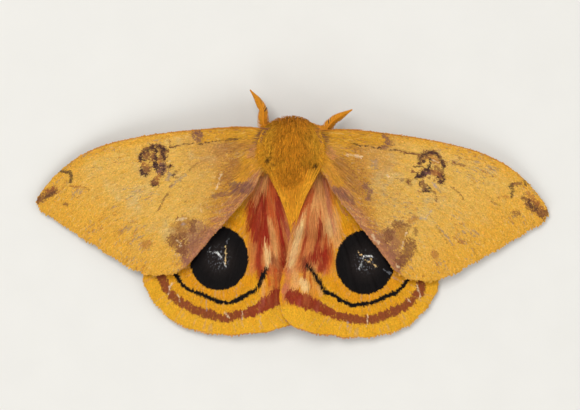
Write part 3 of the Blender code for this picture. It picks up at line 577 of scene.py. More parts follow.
UNDER_GOLD, UNDER_PINK, UNDER_WHITE = (226, 168, 74), (196, 128, 92), (246, 240, 226)
FORE_UNDER_MARKS = (
    (RUST, 0.7, 0.5, (28.6, 6.0), (25.5, 1.5), (20.5, -2.6), (14.6, -5.6)),
    (DARK, 1.0, (1.75, 1.75), (17.9, 6.0)),
    (UNDER_WHITE, 1.0, 0.4, (17.9, 6.6), (17.9, 5.5)),
)


def on_side(marks, side):
    """Marks given for the right wing, moved to the wing on this side."""
    return [
        (shade, strength, width, *((x * side, y) for x, y in points))
        for shade, strength, width, *points in marks
    ]


def fore_under_colours(side, x, y, out, across, chord, draw):
    """The under side: yellow, with a black spot round a white dash, and a brown line."""
    colours = all_over(UNDER_GOLD, x)
    tint(colours, UNDER_PINK, smoothstep(5.5, 2.5, (1 - across) * chord) * 0.7)
    tint(colours, ORANGE, smoothstep(0.8, 1.0, out) * 0.7)
    paint_marks(colours, on_side(FORE_UNDER_MARKS, side), x, y, draw)
    return colours


def make_piece(name, points, faces, material, colours, corner_places, smooth=False):
    """An object whose points carry their colour and whose corners a place on the unwrap."""
    mesh = bpy.data.meshes.new(name)
    mesh.vertices.add(len(points))
    mesh.vertices.foreach_set("co", (points * MM).astype(np.float32).ravel())
    corners = faces.shape[1]
    mesh.loops.add(faces.size)
    mesh.loops.foreach_set("vertex_index", faces.astype(np.int32).ravel())
    mesh.polygons.add(len(faces))
    mesh.polygons.foreach_set("loop_start", np.arange(0, faces.size, corners, dtype=np.int32))
    mesh.update(calc_edges=True)
    mesh.polygons.foreach_set("use_smooth", np.full(len(faces), smooth))
    coat = mesh.color_attributes.new("coat", "FLOAT_COLOR", "POINT")
    whole = np.ones((len(points), 4), np.float32)
    whole[:, :3] = np.clip(colours, 0, 1)
    coat.data.foreach_set("color", whole.ravel())
    unwrap = mesh.uv_layers.new(name="OFBake")
    unwrap.data.foreach_set("uv", corner_places.astype(np.float32).ravel())
    mesh.materials.append(material)
    obj = place_in_scene(name, mesh)
    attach(obj, "root")
    return obj


def wing_membrane(name, grid, top_colours, under_colours, side):
    """A closed sheet whose two faces meet in a thin rim."""
    top, under, out, across = grid
    rows, columns = out.shape
    upper = np.arange(rows * columns).reshape(rows, columns)
    lower = upper.copy()
    inside = (slice(1, -1), slice(1, -1))
    lower[inside] = rows * columns + np.arange((rows - 2) * (columns - 2)).reshape(
        rows - 2, columns - 2
    )
    points = np.vstack([top.reshape(-1, 3), under[inside].reshape(-1, 3)])
    colours = np.vstack([top_colours.reshape(-1, 3), under_colours[inside].reshape(-1, 3)])
    places = np.stack([0.02 + 0.46 * across, 0.02 + 0.96 * out], axis=-1)
    faces, corner_places = [], []
    for index, shift, turn in ((upper, 0.0, side), (lower, 0.5, -side)):
        corners = [(0, 0), (0, 1), (1, 1), (1, 0)][::turn]
        quad = [index[i : rows - 1 + i, j : columns - 1 + j] for i, j in corners]
        spot = [places[i : rows - 1 + i, j : columns - 1 + j] for i, j in corners]
        faces.append(np.stack(quad, axis=-1).reshape(-1, 4))
        corner_places.append(np.stack(spot, axis=-2).reshape(-1, 2) + (shift, 0))
    return make_piece(name, points, np.vstack(faces), membrane_finish, colours,
                      np.vstack(corner_places), True)


def coat_material(name, roughness, grain, depth):
    """Chitin or hair in its own painted colours, mottled and roughened by a fine grain."""
    material = new_material(name, roughness)
    own = add_node(material, "ShaderNodeAttribute", attribute_name="coat")
    fine = add_noise(material, grain)
    mix = add_node(material, "ShaderNodeMix", data_type="RGBA", blend_type="MULTIPLY")
    mix.inputs["Factor"].default_value = 1.0
    join_up(material, own.outputs["Color"], mix.inputs["A"])
    shade = add_ramp(material, fine, (0.3, (236, 234, 232)), (0.7, (255, 255, 255)))
    join_up(material, shade, mix.inputs["B"])
    colour_from(material, mix.outputs["Result"])
    add_bump(material, fine, depth)
    return material


def chord_lengths(grid):
    top = grid[0]
    return np.linalg.norm(top[:, -1] - top[:, 0], axis=-1)[:, None] * np.ones(top.shape[:2])


def pair_of_wings(name, lines, veins, cell, height, painter, under_painter):
    """Builds the left and the right membrane, and returns their grids."""
    outline = tuple(curve_through(line) for line in lines)
    grids = {}
    for side, word in SIDES:
        grid = grids[side] = wing_grid(outline, veins, cell, height, side)
        x, y = grid[0][..., 0], grid[0][..., 1]
        spread = (side, x, y, grid[2], grid[3], chord_lengths(grid), 0.5)
        membrane = wing_membrane(f"{name}_membrane_{word}", grid, painter(*spread),
                                 under_painter(*spread), side)
        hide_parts(f"{name}_{word}")
    return grids


membrane_finish = coat_material("wing_membrane", 0.7, 0.25, 0.05)
fore_grids = pair_of_wings("forewing", (FORE_COSTA, FORE_MARGIN, FORE_INNER), FORE_VEINS,
                           FORE_CELL, fore_height, fore_colours, fore_under_colours)

# The hindwings' membranes. Each is softer than a forewing, lies over the side of the abdomen,
# and carries the black eyespot inside a ring and two bands. The right one lies on the left one.
HIND_COSTA = (
    (3.0, 7.2), (7.6, 6.0), (12.4, 3.2), (16.4, -0.6), (18.9, -4.4), (19.8, -7.8),
)
HIND_MARGIN = (
    (19.8, -7.8), (19.4, -9.8), (18.6, -11.4), (17.5, -12.8), (15.9, -14.3), (13.9, -15.3),
    (11.0, -16.0), (8.0, -16.15), (5.3, -15.9), (2.7, -15.5), (0.9, -14.95), (0.0, -14.4),
)
HIND_INNER = (
    (3.0, 5.6), (2.5, 4.4), (1.5, 2.1), (0.75, 0.3), (0.1, -2.0), (-0.45, -5.6),
    (-1.1, -7.7), (-1.38, -10.4), (-1.1, -12.8), (0.0, -14.4),
)
HIND_VEINS = (
    (0.14, 0.07, 0.0), (0.26, 0.19, 0.0), (0.36, 0.31, 0.42), (0.47, 0.43, 0.42),
    (0.57, 0.55, 0.0), (0.64, 0.68, 0.0), (0.76, 0.84, 0.0),
)
HIND_CELL = 0.42
HIND_ROOT_X, HIND_ROOT_Z, HIND_TIP_Z, HIND_SPAN = 3.6, 3.0, 1.15, 16.2
DRAPE_WIDTH, DRAPE_LIFT = 3.3, 0.75
OVERLAP_LIFT = 1.0
ABDOMEN_FRONT, ABDOMEN_TIP = 3.9, -8.4
ABDOMEN_RADIUS, ABDOMEN_HEIGHT, ABDOMEN_DROP = 2.15, 2.55, 1.15


def abdomen_shape(y):
    """The abdomen's radius and the height of its middle line at each place along it."""
    share = np.clip((ABDOMEN_FRONT - y) / (ABDOMEN_FRONT - ABDOMEN_TIP), 0, 1)
    taper = (np.maximum(0, share - 0.25) / 0.78) ** 2.4
    radius = ABDOMEN_RADIUS * np.sqrt(np.maximum(0, 1 - taper))
    return radius, ABDOMEN_HEIGHT - ABDOMEN_DROP * share**1.1


def hind_height(x, y, side):
    """The height of the hindwing's middle surface. x counts outwards from the middle."""
    out = np.clip((x - HIND_ROOT_X) / HIND_SPAN, 0, 1)
    flat = HIND_TIP_Z + (HIND_ROOT_Z - HIND_TIP_Z) * (1 - out) ** 1.5
    flat -= 0.5 * smoothstep(-8.0, -16.0, y) * (1 - out)
    radius, middle = abdomen_shape(np.maximum(y, ABDOMEN_TIP + 1.0))
    fold = np.maximum(0, middle + radius + DRAPE_LIFT - flat)
    fold *= 1 - 0.62 * smoothstep(-6.5, -14.0, y)
    height = flat + fold * np.exp(-((x / DRAPE_WIDTH) ** 2))
    if side == RIGHT:
        height += OVERLAP_LIFT * smoothstep(6.0, 1.6, x) * smoothstep(2.5, -1.5, y)
    return height


BLACK, WHITE, CREAM, SILVER = (16, 12, 12), (242, 242, 240), (240, 202, 138), (128, 130, 136)
RING, BORDER, BAND_GOLD = (227, 154, 24), (234, 174, 42), (228, 162, 30)
BRICK, BLOOD, SALMON, ROSE = (138, 62, 38), (152, 34, 20), (208, 126, 68), (192, 106, 84)
FLAME, LIGHT_SALMON = (192, 78, 32), (228, 166, 98)
EYE_BROWN = (48, 40, 37)
EYESPOT = {LEFT: (-9.6, -5.93), RIGHT: (9.79, -6.02)}
EYESPOT_RADII = (3.92, 4.27)
LINE_POINTS = 60  # on each smooth line of the pattern
ARC = {
    LEFT: ((-15.3, -8.0), (-14.9, -8.9), (-14.1, -9.8), (-13.0, -10.4), (-11.5, -10.9),
           (-10.4, -11.4), (-9.4, -11.7), (-8.0, -11.8), (-6.7, -11.2), (-5.7, -10.6),
           (-4.8, -10.1), (-4.2, -9.3), (-3.8, -8.2), (-3.3, -7.1)),
    RIGHT: ((15.6, -8.0), (14.9, -9.1), (14.1, -9.9), (12.7, -10.5), (11.2, -11.3), (9.5, -11.6),
            (8.2, -11.8), (7.6, -11.5), (6.6, -11.1), (5.8, -10.5), (4.6, -10.0), (3.7, -8.7),
            (2.9, -7.5), (2.1, -6.4)),
}
BAND = {
    LEFT: ((-17.3, -8.5), (-16.8, -9.5), (-16.1, -10.7), (-15.0, -11.6), (-14.0, -12.2),
           (-12.5, -13.0), (-11.1, -13.3), (-10.1, -13.6), (-8.8, -13.9), (-7.4, -13.5),
           (-6.0, -13.2), (-4.6, -12.6), (-3.4, -11.8), (-2.2, -11.1), (-1.4, -10.6)),
    RIGHT: ((17.4, -8.7), (17.2, -9.7), (16.3, -10.6), (15.4, -11.6), (14.3, -12.2), (12.8, -12.9),
            (11.6, -13.4), (10.1, -13.7), (8.7, -13.6), (7.2, -13.4), (5.7, -13.0), (4.1, -12.2),
            (3.0, -11.7), (1.5, -11.1), (0.3, -10.8)),
}
EYESPOT_MARKS = {LEFT: (
    (WHITE, 1.0, 0.14, (-10.8, -5.0), (-10.3, -5.2), (-9.7, -5.3)),
    (WHITE, 1.0, 0.13, (-9.8, -5.2), (-9.4, -5.5), (-9.2, -5.8)),
    (CREAM, 1.0, 0.12, (-8.7, -4.2), (-8.7, -5.3), (-8.8, -6.5)),
    (WHITE, 0.7, 0.08, (-9.0, -6.4), (-8.5, -7.1)),
    (SILVER, 0.7, 0.08, (-10.7, -4.4), (-11.0, -5.1)),
    (SILVER, 0.4, 0.08, (-8.6, -3.9), (-8.4, -3.1)),
    (PALE, 0.8, 0.15, (-15.8, -9.5), (-16.3, -10.8)),
    (PALE, 0.7, 0.15, (-14.9, -11.1), (-14.8, -11.7)),
    (PALE, 0.7, 0.13, (-8.7, -13.1), (-8.2, -13.9)),
    (PALE, 0.7, 0.13, (-6.3, -12.9), (-6.3, -14.0)),
    (LILAC, 0.6, 0.15, (-11.1, -11.7), (-11.1, -12.9)),
    (LILAC, 0.6, 0.12, (-7.2, -9.9), (-7.2, -11.2)),
    (LILAC, 0.5, 0.12, (-3.9, -13.6), (-4.0, -15.2)),
), RIGHT: (
    (CREAM, 1.0, 0.11, (8.8, -4.7), (9.3, -5.1)),
    (WHITE, 1.0, 0.12, (9.5, -5.5), (9.8, -5.3), (10.8, -5.2)),
    (CREAM, 1.0, 0.12, (9.9, -5.8), (10.6, -6.2), (11.4, -6.6)),
    (CREAM, 0.9, (0.14, 0.14), (10.6, -5.6)),
    (WHITE, 0.7, 0.08, (9.6, -5.5), (9.2, -6.3), (8.9, -7.0)),
    (SILVER, 0.6, 0.12, (12.2, -6.8), (13.2, -7.5)),
    (PALE, 0.8, 0.14, (16.7, -9.0), (17.2, -10.4)),
    (PALE, 0.7, 0.14, (15.5, -10.7), (16.0, -11.3)),
    (PALE, 0.8, 0.14, (10.2, -13.1), (10.3, -14.3)),
    (LILAC, 0.6, 0.12, (13.7, -8.0), (15.0, -8.7)),
    (LILAC, 0.6, 0.12, (7.7, -13.9), (7.7, -15.2)),
)}
HAIR_ROOT = (3.5, 7.6)
HAIR_MARKS = {LEFT: (
    (SALMON, 0.7, 1.2, (-4.4, 5.7), (-5.1, 3.6), (-5.9, 1.6)),
    (FLAME, 0.9, 1.0, (-3.0, 4.4), (-2.6, 3.5), (-2.0, 2.0)),
    # Lighter salmon at the hair's root: partly the hair's own colour, partly painted light lifting
    # the shade between thorax and wing.
    (LIGHT_SALMON, 0.8, 1.5, (-3.7, 6.2), (-3.9, 4.9), (-4.2, 3.9)),
    (ROSE, 0.6, 0.4, (-3.9, 6.0), (-4.2, 4.3), (-4.7, 2.6)),
    (LIGHT_SALMON, 0.6, 0.4, (-3.9, 3.5), (-4.7, 2.0), (-4.8, 0.8)),
    (BLOOD, 0.95, 2.0, (-5.1, 0.8), (-5.0, -0.9), (-4.2, -2.8)),
    (BLOOD, 0.95, 1.05, (-3.9, 2.3), (-3.6, -0.1), (-3.0, -3.1)),
    (FLAME, 0.85, 0.7, (-3.2, 3.0), (-2.8, 0.3), (-2.4, -1.7)),
    (BLOOD, 0.95, 0.9, (-1.9, 2.4), (-1.5, 0.0), (-1.2, -2.7)),
    (LIGHT_SALMON, 0.75, 0.6, (-2.9, -0.7), (-2.5, -2.5), (-2.1, -4.0)),
    (BLOOD, 0.95, 0.65, (-1.8, 0.0), (-1.4, -2.2), (-1.1, -4.2), (-0.9, -6.2)),
    (SALMON, 0.8, 0.33, (-1.4, -0.7), (-0.9, -2.7), (-0.5, -4.4)),
    (ROSE, 0.8, 0.44, (-0.9, -0.7), (-0.3, -2.6), (-0.2, -4.2)),
    (CREAM, 0.95, 0.45, (-3.4, -4.2), (-3.2, -5.6), (-3.1, -6.8)),
    (CREAM, 0.9, 0.42, (-2.9, -4.6), (-2.7, -6.2)),
    (LIGHT_SALMON, 0.8, 0.55, (-2.2, -3.8), (-2.1, -5.7)),
    (BLOOD, 0.9, 0.85, (-4.3, -3.7), (-4.3, -5.8), (-4.1, -8.2)),
    (SALMON, 0.7, 0.66, (-5.3, -3.8), (-5.3, -6.3), (-5.2, -7.8)),
    (BRICK, 0.8, 1.2, (-2.2, -5.8), (-2.0, -7.2)),
    (BLOOD, 0.85, 0.66, (-1.2, -5.5), (-1.1, -7.1)),
    (FLAME, 0.7, 0.24, (-2.6, -7.1), (-2.4, -9.1)),
    (BLOOD, 0.8, 0.22, (-1.8, -7.1), (-1.8, -8.4)),
    (BLOOD, 0.7, 0.22, (-1.4, -7.1), (-1.4, -9.5)),
    (SALMON, 0.6, 1.9, (-2.0, -7.0), (-1.9, -9.8)),
    (FLAME, 0.75, 0.4, (-3.0, -6.8), (-2.9, -9.2)),
    (FLAME, 0.75, 0.45, (-2.1, -7.0), (-2.0, -10.0)),
    (BLOOD, 0.6, 0.3, (-1.5, -7.0), (-1.5, -10.0)),
    (FLAME, 0.7, 0.4, (-1.0, -7.0), (-1.1, -10.2)),
    (LIGHT_SALMON, 0.8, 0.6, (-3.8, -8.7), (-3.6, -9.5), (-3.6, -10.6)),
), RIGHT: (
    (SALMON, 0.7, 0.8, (3.7, 6.2), (3.9, 4.5), (4.4, 3.2)),
    # Lighter salmon at the hair's root: partly the hair's own colour, partly painted light lifting
    # the shade between thorax and wing.
    (LIGHT_SALMON, 0.8, 1.5, (3.7, 6.2), (3.5, 5.0), (3.4, 4.0)),
    (LIGHT_SALMON, 0.9, 1.7, (2.9, 3.5), (2.8, 1.4), (2.2, -0.9)),
    (LIGHT_SALMON, 0.85, 1.5, (3.9, 2.5), (4.3, 0.5), (4.7, -1.6)),
    (ROSE, 0.7, 0.45, (3.8, 5.7), (4.3, 3.5), (4.9, 1.0), (5.2, -0.9)),
    (FLAME, 0.85, 0.9, (2.6, 3.6), (1.8, 1.9), (1.1, 0.7), (0.7, -0.5)),
    (BLOOD, 0.75, 0.4, (1.3, 1.8), (0.7, 0.0)),
    (FLAME, 0.75, 0.4, (2.4, 2.5), (2.1, 0.1), (1.8, -2.0)),
    (LIGHT_SALMON, 0.85, 1.2, (5.5, 0.2), (5.9, -2.4), (6.0, -3.7)),
    (ROSE, 0.6, 0.4, (6.3, 1.5), (7.2, 0.2)),
    (CREAM, 0.9, 0.85, (1.3, -1.0), (0.9, -2.5), (0.3, -4.6), (-0.1, -6.6)),
    (LIGHT_SALMON, 0.7, 0.3, (1.8, -0.6), (1.5, -2.5), (0.9, -4.6)),
    (BLOOD, 0.8, 0.4, (2.1, -1.3), (1.8, -3.3), (1.3, -5.1)),
    (SALMON, 0.85, 0.66, (2.7, 0.1), (2.4, -2.6), (1.7, -5.0)),
    (BLOOD, 0.95, 0.6, (3.8, -0.6), (3.5, -2.7), (3.2, -4.3)),
    (BLOOD, 0.95, 1.4, (4.2, -4.7), (3.1, -5.4)),
    (BLOOD, 0.9, 1.0, (4.7, -4.3), (4.4, -5.8), (3.9, -7.0)),
    (BLOOD, 0.85, 0.8, (2.6, -5.1), (2.0, -6.1)),
    (BRICK, 0.8, 0.66, (1.5, -5.2), (1.7, -7.0)),
    (FLAME, 0.7, 0.66, (5.0, -4.3), (5.1, -5.6), (4.9, -6.7)),
    (CREAM, 0.5, 1.3, (4.9, -0.6), (5.0, -2.1)),
    (ROSE, 0.6, 0.26, (5.1, 0.1), (5.3, -1.3), (5.7, -2.7)),
    (BROWN, 0.35, 0.33, (5.3, -2.1), (6.0, -3.1)),
    (ROSE, 0.85, 1.0, (-0.2, -7.4), (-0.3, -7.7)),
    (LIGHT_SALMON, 0.75, 1.1, (0.3, -7.2), (0.2, -10.0)),
    (SALMON, 0.8, 0.9, (-0.3, -7.9), (-0.5, -9.5)),
    (ROSE, 0.8, 1.0, (-0.6, -9.7), (-0.6, -10.8)),
    (CREAM, 0.9, 1.0, (1.4, -8.8), (1.9, -9.4)),
    (LIGHT_SALMON, 0.8, 0.66, (0.7, -7.6), (0.8, -9.2)),
    (BLOOD, 0.8, 0.26, (1.7, -7.0), (1.7, -8.3)),
    (FLAME, 0.7, 0.26, (2.5, -7.4), (2.6, -9.4)),
    (ROSE, 0.7, 0.26, (4.5, -6.9), (4.3, -8.0)),
    (LIGHT_SALMON, 0.7, 0.66, (3.6, -9.4), (4.0, -10.4)),
)}


def from_eyespot(side, x, y):
    """How far each place lies from the eyespot's middle, where its rim is at 1."""
    centre = EYESPOT[side]
    return np.hypot((x - centre[0]) / EYESPOT_RADII[0], (y - centre[1]) / EYESPOT_RADII[1])


def hind_colours(side, x, y, out, across, chord, draw):
    """The colour of the scales and hair at each place on the upper side of a hindwing. It takes
    what every wing's painter takes, and doesn't need the shares and the chord."""
    away = x * side

    # Yellow rings round the eyespot, with faint rays.
    colours = all_over(BORDER, x)
    centre = EYESPOT[side]
    from_eye = np.hypot(x - centre[0], (y - centre[1]) * 0.92)
    rays = np.arctan2(x - centre[0], centre[1] - y) * 6
    teeth = mottle(rays * 4, from_eye * 0.6, 1.0, 40)
    tint(colours, BAND_GOLD, smoothstep(7.6, 6.6, from_eye))
    tint(colours, RING, smoothstep(5.9, 4.9, from_eye))
    tint(colours, LILAC, smoothstep(0.45, 0.85, mottle(rays * 9, from_eye * 0.7, 1.0, 43)) * 0.22)
    tint(colours, RING, smoothstep(0.2, 0.8, -teeth) * 0.35)

    # The hair beside the abdomen, in strands that run back from the wing's root.
    angle = np.arctan2(x - HAIR_ROOT[0] * side, HAIR_ROOT[1] - y)
    strands = mottle(angle * 34, np.hypot(x, y) * 0.35, 1.0, 61 + side)
    inner = smoothstep(6.6, 5.4, away + 0.5 * strands + 0.3 * smoothstep(-3.0, -7.0, y))
    tail = smoothstep(-6.8, -8.2, y + 0.5 * strands)
    hair = all_over(SALMON, x)
    tint(hair, FLAME, smoothstep(0.0, 0.8, strands) * 0.6)
    tint(hair, LIGHT_SALMON, smoothstep(0.0, 0.8, -strands) * 0.6)
    tint(hair, RING, np.maximum(tail, smoothstep(4.6, 5.8, away)) * (0.7 + 0.3 * strands))
    inner *= smoothstep(-12.4, -11.0, y + 0.5 * strands)
    inner *= 1 - tail * smoothstep(3.2, 4.6, away)
    colours += (hair - colours) * inner[..., None]
    paint_marks(colours, HAIR_MARKS[side], x, y, 0.5 + 0.1 * strands, 0.4)

    # The brick band, redder and streaked with hair towards the abdomen.
    band = distance_to(curve_through(BAND[side], LINE_POINTS), x, y)
    band += 0.11 * teeth + 0.15 * mottle(x, y, 0.22, 45)
    wide = 0.4 * smoothstep(5.6, 2.0, away)
    band_gaps = 0.93 - 0.12 * teeth + 0.2 * mottle(x, y, 0.3, 47)
    band_amount = taken(draw, smoothstep(0.88 + wide, 0.3 + wide, band) * band_gaps)
    near = smoothstep(9.0, 3.0, away)
    tint(colours, BRICK, band_amount * 0.93)
    tint(colours, BLOOD, band_amount * near * 0.5)
    tint(colours, ROSE, band_amount * near * smoothstep(0.3, 0.8, strands) * 0.6)
    streaked = smoothstep(4.4, 1.6, away) * smoothstep(0.9, 0.3, band - wide)
    tint(colours, SALMON, streaked * smoothstep(0.15, 0.7, -strands) * 0.5)
    tint(colours, BLOOD, streaked * smoothstep(0.1, 0.6, strands) * 0.4)

    # The black arc, and the eyespot with its grey cloud and pale dashes.
    arc = distance_to(curve_through(ARC[side], LINE_POINTS), x, y) + 0.1 * teeth
    arc += 0.08 * mottle(x, y, 0.2, 46)
    fuzzy = 0.16 + 0.14 * smoothstep(6.0, 4.0, away)
    tint(colours, BLACK, taken(draw, smoothstep(0.27 + fuzzy, 0.25 - fuzzy, arc)))
    reach = from_eyespot(side, x, y) + 0.014 * teeth
    tint(colours, BLACK, taken(draw, smoothstep(1.03, 0.97, reach)))
    tint(colours, EYE_BROWN, smoothstep(0.8, 0.2, reach) * 0.55)
    cloud = smoothstep(0.5, 0.1, reach) * smoothstep(0.7, 0.76, draw)
    tint(colours, SILVER, cloud * 0.85)
    paint_marks(colours, EYESPOT_MARKS[side], x, y, draw)
    return colours


HIND_UNDER_MARKS = (
    (RUST, 0.7, 0.45, (18.0, -7.0), (15.0, -11.0), (9.0, -13.0), (2.0, -12.0)),
    (BROWN, 0.9, (0.6, 0.6), (9.7, -5.2)),
    (UNDER_WHITE, 1.0, (0.3, 0.3), (9.7, -5.2)),
)


def hind_under_colours(side, x, y, out, across, chord, draw):
    """The under side: dull yellow flushed with pink, with a small white dot and a brown line."""
    colours = all_over(UNDER_GOLD, x)
    tint(colours, UNDER_PINK, smoothstep(0.2, 0.9, across + 0.15 * mottle(x, y, 1.6, 51)) * 0.75)
    paint_marks(colours, on_side(HIND_UNDER_MARKS, side), x, y, draw)
    return colours


hind_grids = pair_of_wings("hindwing", (HIND_COSTA, HIND_MARGIN, HIND_INNER), HIND_VEINS,
                           HIND_CELL, hind_height, hind_colours, hind_under_colours)

# The wings' scales. Flat plates of chitin overlap like tiles from the root to the margin on
# both sides of each wing, every one in a single colour, and make the whole pattern.
SCALE_LENGTH, SCALE_WIDTH = 0.34, 0.15
SCALE_STEP, SCALE_GAP = 0.125, 0.092
UNDER_STEP, UNDER_GAP = 0.22, 0.16
SCALE_TILT, SCALE_STRAY = 9.0, 0.16
PATCH = 0.0028  # a scale's or tuft's share of the unwrap


def sample(table, i, j):
    """Values of a grid's table between its rows and columns."""
    i = np.clip(i, 0, table.shape[0] - 1.001)
    j = np.clip(j, 0, table.shape[1] - 1.001)
    low_i, low_j = i.astype(int), j.astype(int)
    u, v = i - low_i, j - low_j
    if table.ndim == 3:
        u, v = u[:, None], v[:, None]
    near = table[low_i, low_j] * (1 - v) + table[low_i, low_j + 1] * v
    far = table[low_i + 1, low_j] * (1 - v) + table[low_i + 1, low_j + 1] * v
    return near * (1 - u) + far * u


def scatter(grid, step, gap, draw):
    """Places on a surface in rows a step apart, each a gap from its neighbours."""
    rows, columns = grid.shape[:2]
    stretch = np.linalg.norm(np.gradient(grid, axis=0), axis=2)
    count = int(stretch.sum(axis=0).max() / step)
    found = []
    for number in range(count):
        i = (number + 0.5) / count * (rows - 1)
        line = sample(grid, np.full(columns, i), np.arange(columns, dtype=float))
        run = np.concatenate([[0], np.cumsum(np.linalg.norm(np.diff(line, axis=0), axis=1))])
        spots = int(run[-1] / gap)
        if spots < 1:
            continue
        want = (np.arange(spots) + 0.5 * (number % 2) + draw.uniform(0, 0.5, spots)) * gap
        found.append(np.stack([np.full(spots, i), np.interp(want, run, np.arange(columns))]))
    i, j = np.concatenate(found, axis=1)
    i = i + draw.uniform(-0.45, 0.45, len(i)) * (rows - 1) / count
    spacing = sample(stretch, i, j) * (rows - 1) / count
    keep = draw.random(len(i)) < spacing / step
    return i[keep], j[keep]


def unit(vectors):
    return vectors / np.linalg.norm(vectors, axis=-1, keepdims=True)


def surface_frame(grid, facing):
    """Unit vectors along the rows' lie and out of the surface, at each point of a grid."""
    lie = np.gradient(grid, axis=0)
    over = np.gradient(grid, axis=1)
    normal = unit(np.cross(lie, over)) * facing
    return unit(lie), normal


def turned(lie, normal, angle):
    """A direction turned about the normal."""
    sideways = np.cross(normal, lie)
    return lie * np.cos(angle)[:, None] + sideways * np.sin(angle)[:, None]


def many_alike(name, points, shades, pattern, patch, places, material):
    """One mesh of many small closed forms, each a patch of the unwrap at its root's place."""
    count, corners = points.shape[:2]
    pattern = np.array(pattern)
    faces = (np.arange(count)[:, None, None] * corners + pattern).reshape(-1, 3)
    patch = np.array(patch) * PATCH
    corner_places = (places[:, None, None, :] + patch[pattern]).reshape(-1, 2)
    return make_piece(name, points.reshape(-1, 3), faces, material, shades.reshape(-1, 3),
                      corner_places)


def scales(name, roots, lie, normal, length, width, colours, places):
    """Closed four-sided scales: narrow at the root, broad near the end, ridged in the middle."""
    over = np.cross(lie, normal)
    shoulder = roots + lie * (0.74 * length)[:, None]
    half_width = over * (width / 2)[:, None]
    tip = roots + lie * length[:, None] + normal * (0.1 * width)[:, None]
    points = np.stack([roots, shoulder - half_width, shoulder + half_width, tip], axis=1)
    return many_alike(
        name, points, np.repeat(colours, 4, axis=0), ((0, 2, 3), (0, 3, 1), (0, 1, 2), (1, 3, 2)),
        ((0, -0.5), (-0.5, 0.25), (0.5, 0.25), (0, 0.5)), places, scale_finish,
    )


def varied(colours, draw, spread=0.1):
    """Each scale or hair a little lighter or darker than its neighbours."""
    light = 1 + draw.normal(0, spread, len(colours))
    warmth = 1 + draw.normal(0, 0.03, (len(colours), 3))
    return np.clip(colours * light[:, None] * warmth, 0, 1)


def lying(surface, facing, i, j, stray, draw):
    """Directions that follow a surface's rows and stray a little, and those out of it."""
    lie, normal = surface_frame(surface, facing)
    outwards = unit(sample(normal, i, j))
    return turned(unit(sample(lie, i, j)), outwards, draw.normal(0, stray, len(i))), outwards


def wing_places(grid, i, j):
    """The shares out and across and the chord at places on a wing, and the places unwrapped."""
    out, across = sample(grid[2], i, j), sample(grid[3], i, j)
    chord = sample(chord_lengths(grid), i, j)
    return (out, across, chord), 0.02 + 0.96 * np.stack([across, out], axis=-1)


def wing_scales(name, grid, surface, facing, painter, side, step, gap, draw):
    """The scales on one face of a wing."""
    i, j = scatter(surface, step, gap, draw)
    roots = sample(surface, i, j)
    count = len(roots)
    direction, outwards = lying(surface, facing, i, j, SCALE_STRAY, draw)
    tilt = np.radians(SCALE_TILT + draw.normal(0, 4, count))
    direction = direction * np.cos(tilt)[:, None] + outwards * np.sin(tilt)[:, None]
    outwards = np.cross(np.cross(direction, outwards), direction)
    roots = roots + outwards * draw.uniform(0.0, 0.02, count)[:, None]
    length = SCALE_LENGTH * step / SCALE_STEP * draw.uniform(0.8, 1.15, count)
    width = SCALE_WIDTH * gap / SCALE_GAP * draw.uniform(0.8, 1.15, count)
    shares, places = wing_places(grid, i, j)
    seen = roots + direction * (0.6 * length)[:, None]
    colours = painter(side, seen[:, 0], seen[:, 1], *shares, draw.uniform(0.2, 0.8, count))
    scales(name, roots, direction, outwards, length, width, varied(colours, draw), places)


scale_finish = coat_material("wing_scales", 0.62, 0.12, 0.01)
for side, word in SIDES:
    draw = np.random.default_rng(100 + side)
    for wing_name, grids, over_paint, under_paint, slot_name in (
        ("forewing", fore_grids, fore_colours, fore_under_colours, "wing"),
        ("hindwing", hind_grids, hind_colours, hind_under_colours, "hindwing"),
    ):
        grid = grids[side]
        for face_name, surface, facing, painter, step, gap in (
            ("top", grid[0], -side, over_paint, SCALE_STEP, SCALE_GAP),
            ("under", grid[1], side, under_paint, UNDER_STEP, UNDER_GAP),
        ):
            wing_scales(f"{wing_name}_scales_{face_name}_{word}", grid, surface, facing, painter,
                        side, step, gap, draw)

# The long hair of the hindwings. Soft hairs in red, orange and cream stripes run back over
# each wing from its root, along the side of the abdomen, and thin out towards the bands.
HAIR_STEP, HAIR_GAP = 0.2, 0.095
HAIR_REACH, HAIR_END = 6.3, -11.6
ROOT_DEPTH, TAPER, TIP_SHADE = 0.05, 0.55, 1.08


def tufts(name, roots, lie, length, normal, width, rise, colours, places, material, slot,
          rings=(0.0, 0.45), root_shade=0.62, bend=0.0):
    """Closed tapered hairs or locks that leave the skin at a low angle and bend along it."""
    normal = np.broadcast_to(normal, roots.shape)
    over = unit(np.cross(lie, normal))
    points, shades = [], []
    for share in rings:
        lift = rise * length * math.sin(0.8 * math.pi * share) - ROOT_DEPTH * (share == 0)
        middle = roots + lie * (share * length)[:, None] + normal * lift[:, None] + bend * share**2
        half = (width / 2 * (1 - TAPER * share))[:, None]
        points += [middle - over * half, middle + over * half, middle + normal * half * 0.6]
        shades += [colours * (root_shade + (1 - root_shade) * share * 2)] * 3
    lift = rise * length * math.sin(0.8 * math.pi)
    points.append(roots + lie * length[:, None] + normal * lift[:, None] + bend)
    shades.append(colours * TIP_SHADE)
    last = 3 * len(rings) - 3
    edges = ((0, 1), (1, 2), (2, 0))
    pattern = [(0, 1, 2)]
    for at in range(0, last, 3):
        for a, b in edges:
            pattern += [(at + a, at + 3 + a, at + 3 + b), (at + a, at + 3 + b, at + b)]
    pattern += [(last + a, last + 3, last + b) for a, b in edges]
    patch = [(across, share - 0.5) for share in rings for across in (-0.5, 0.5, 0)] + [(0, 0.5)]
    return many_alike(name, np.stack(points, axis=1), np.stack(shades, axis=1), pattern, patch,
                      places, material)


def flattened(direction, normal):
    """Unit directions turned until they lie along the surface that faces this way."""
    return unit(direction - normal * (direction * normal).sum(axis=1)[:, None])


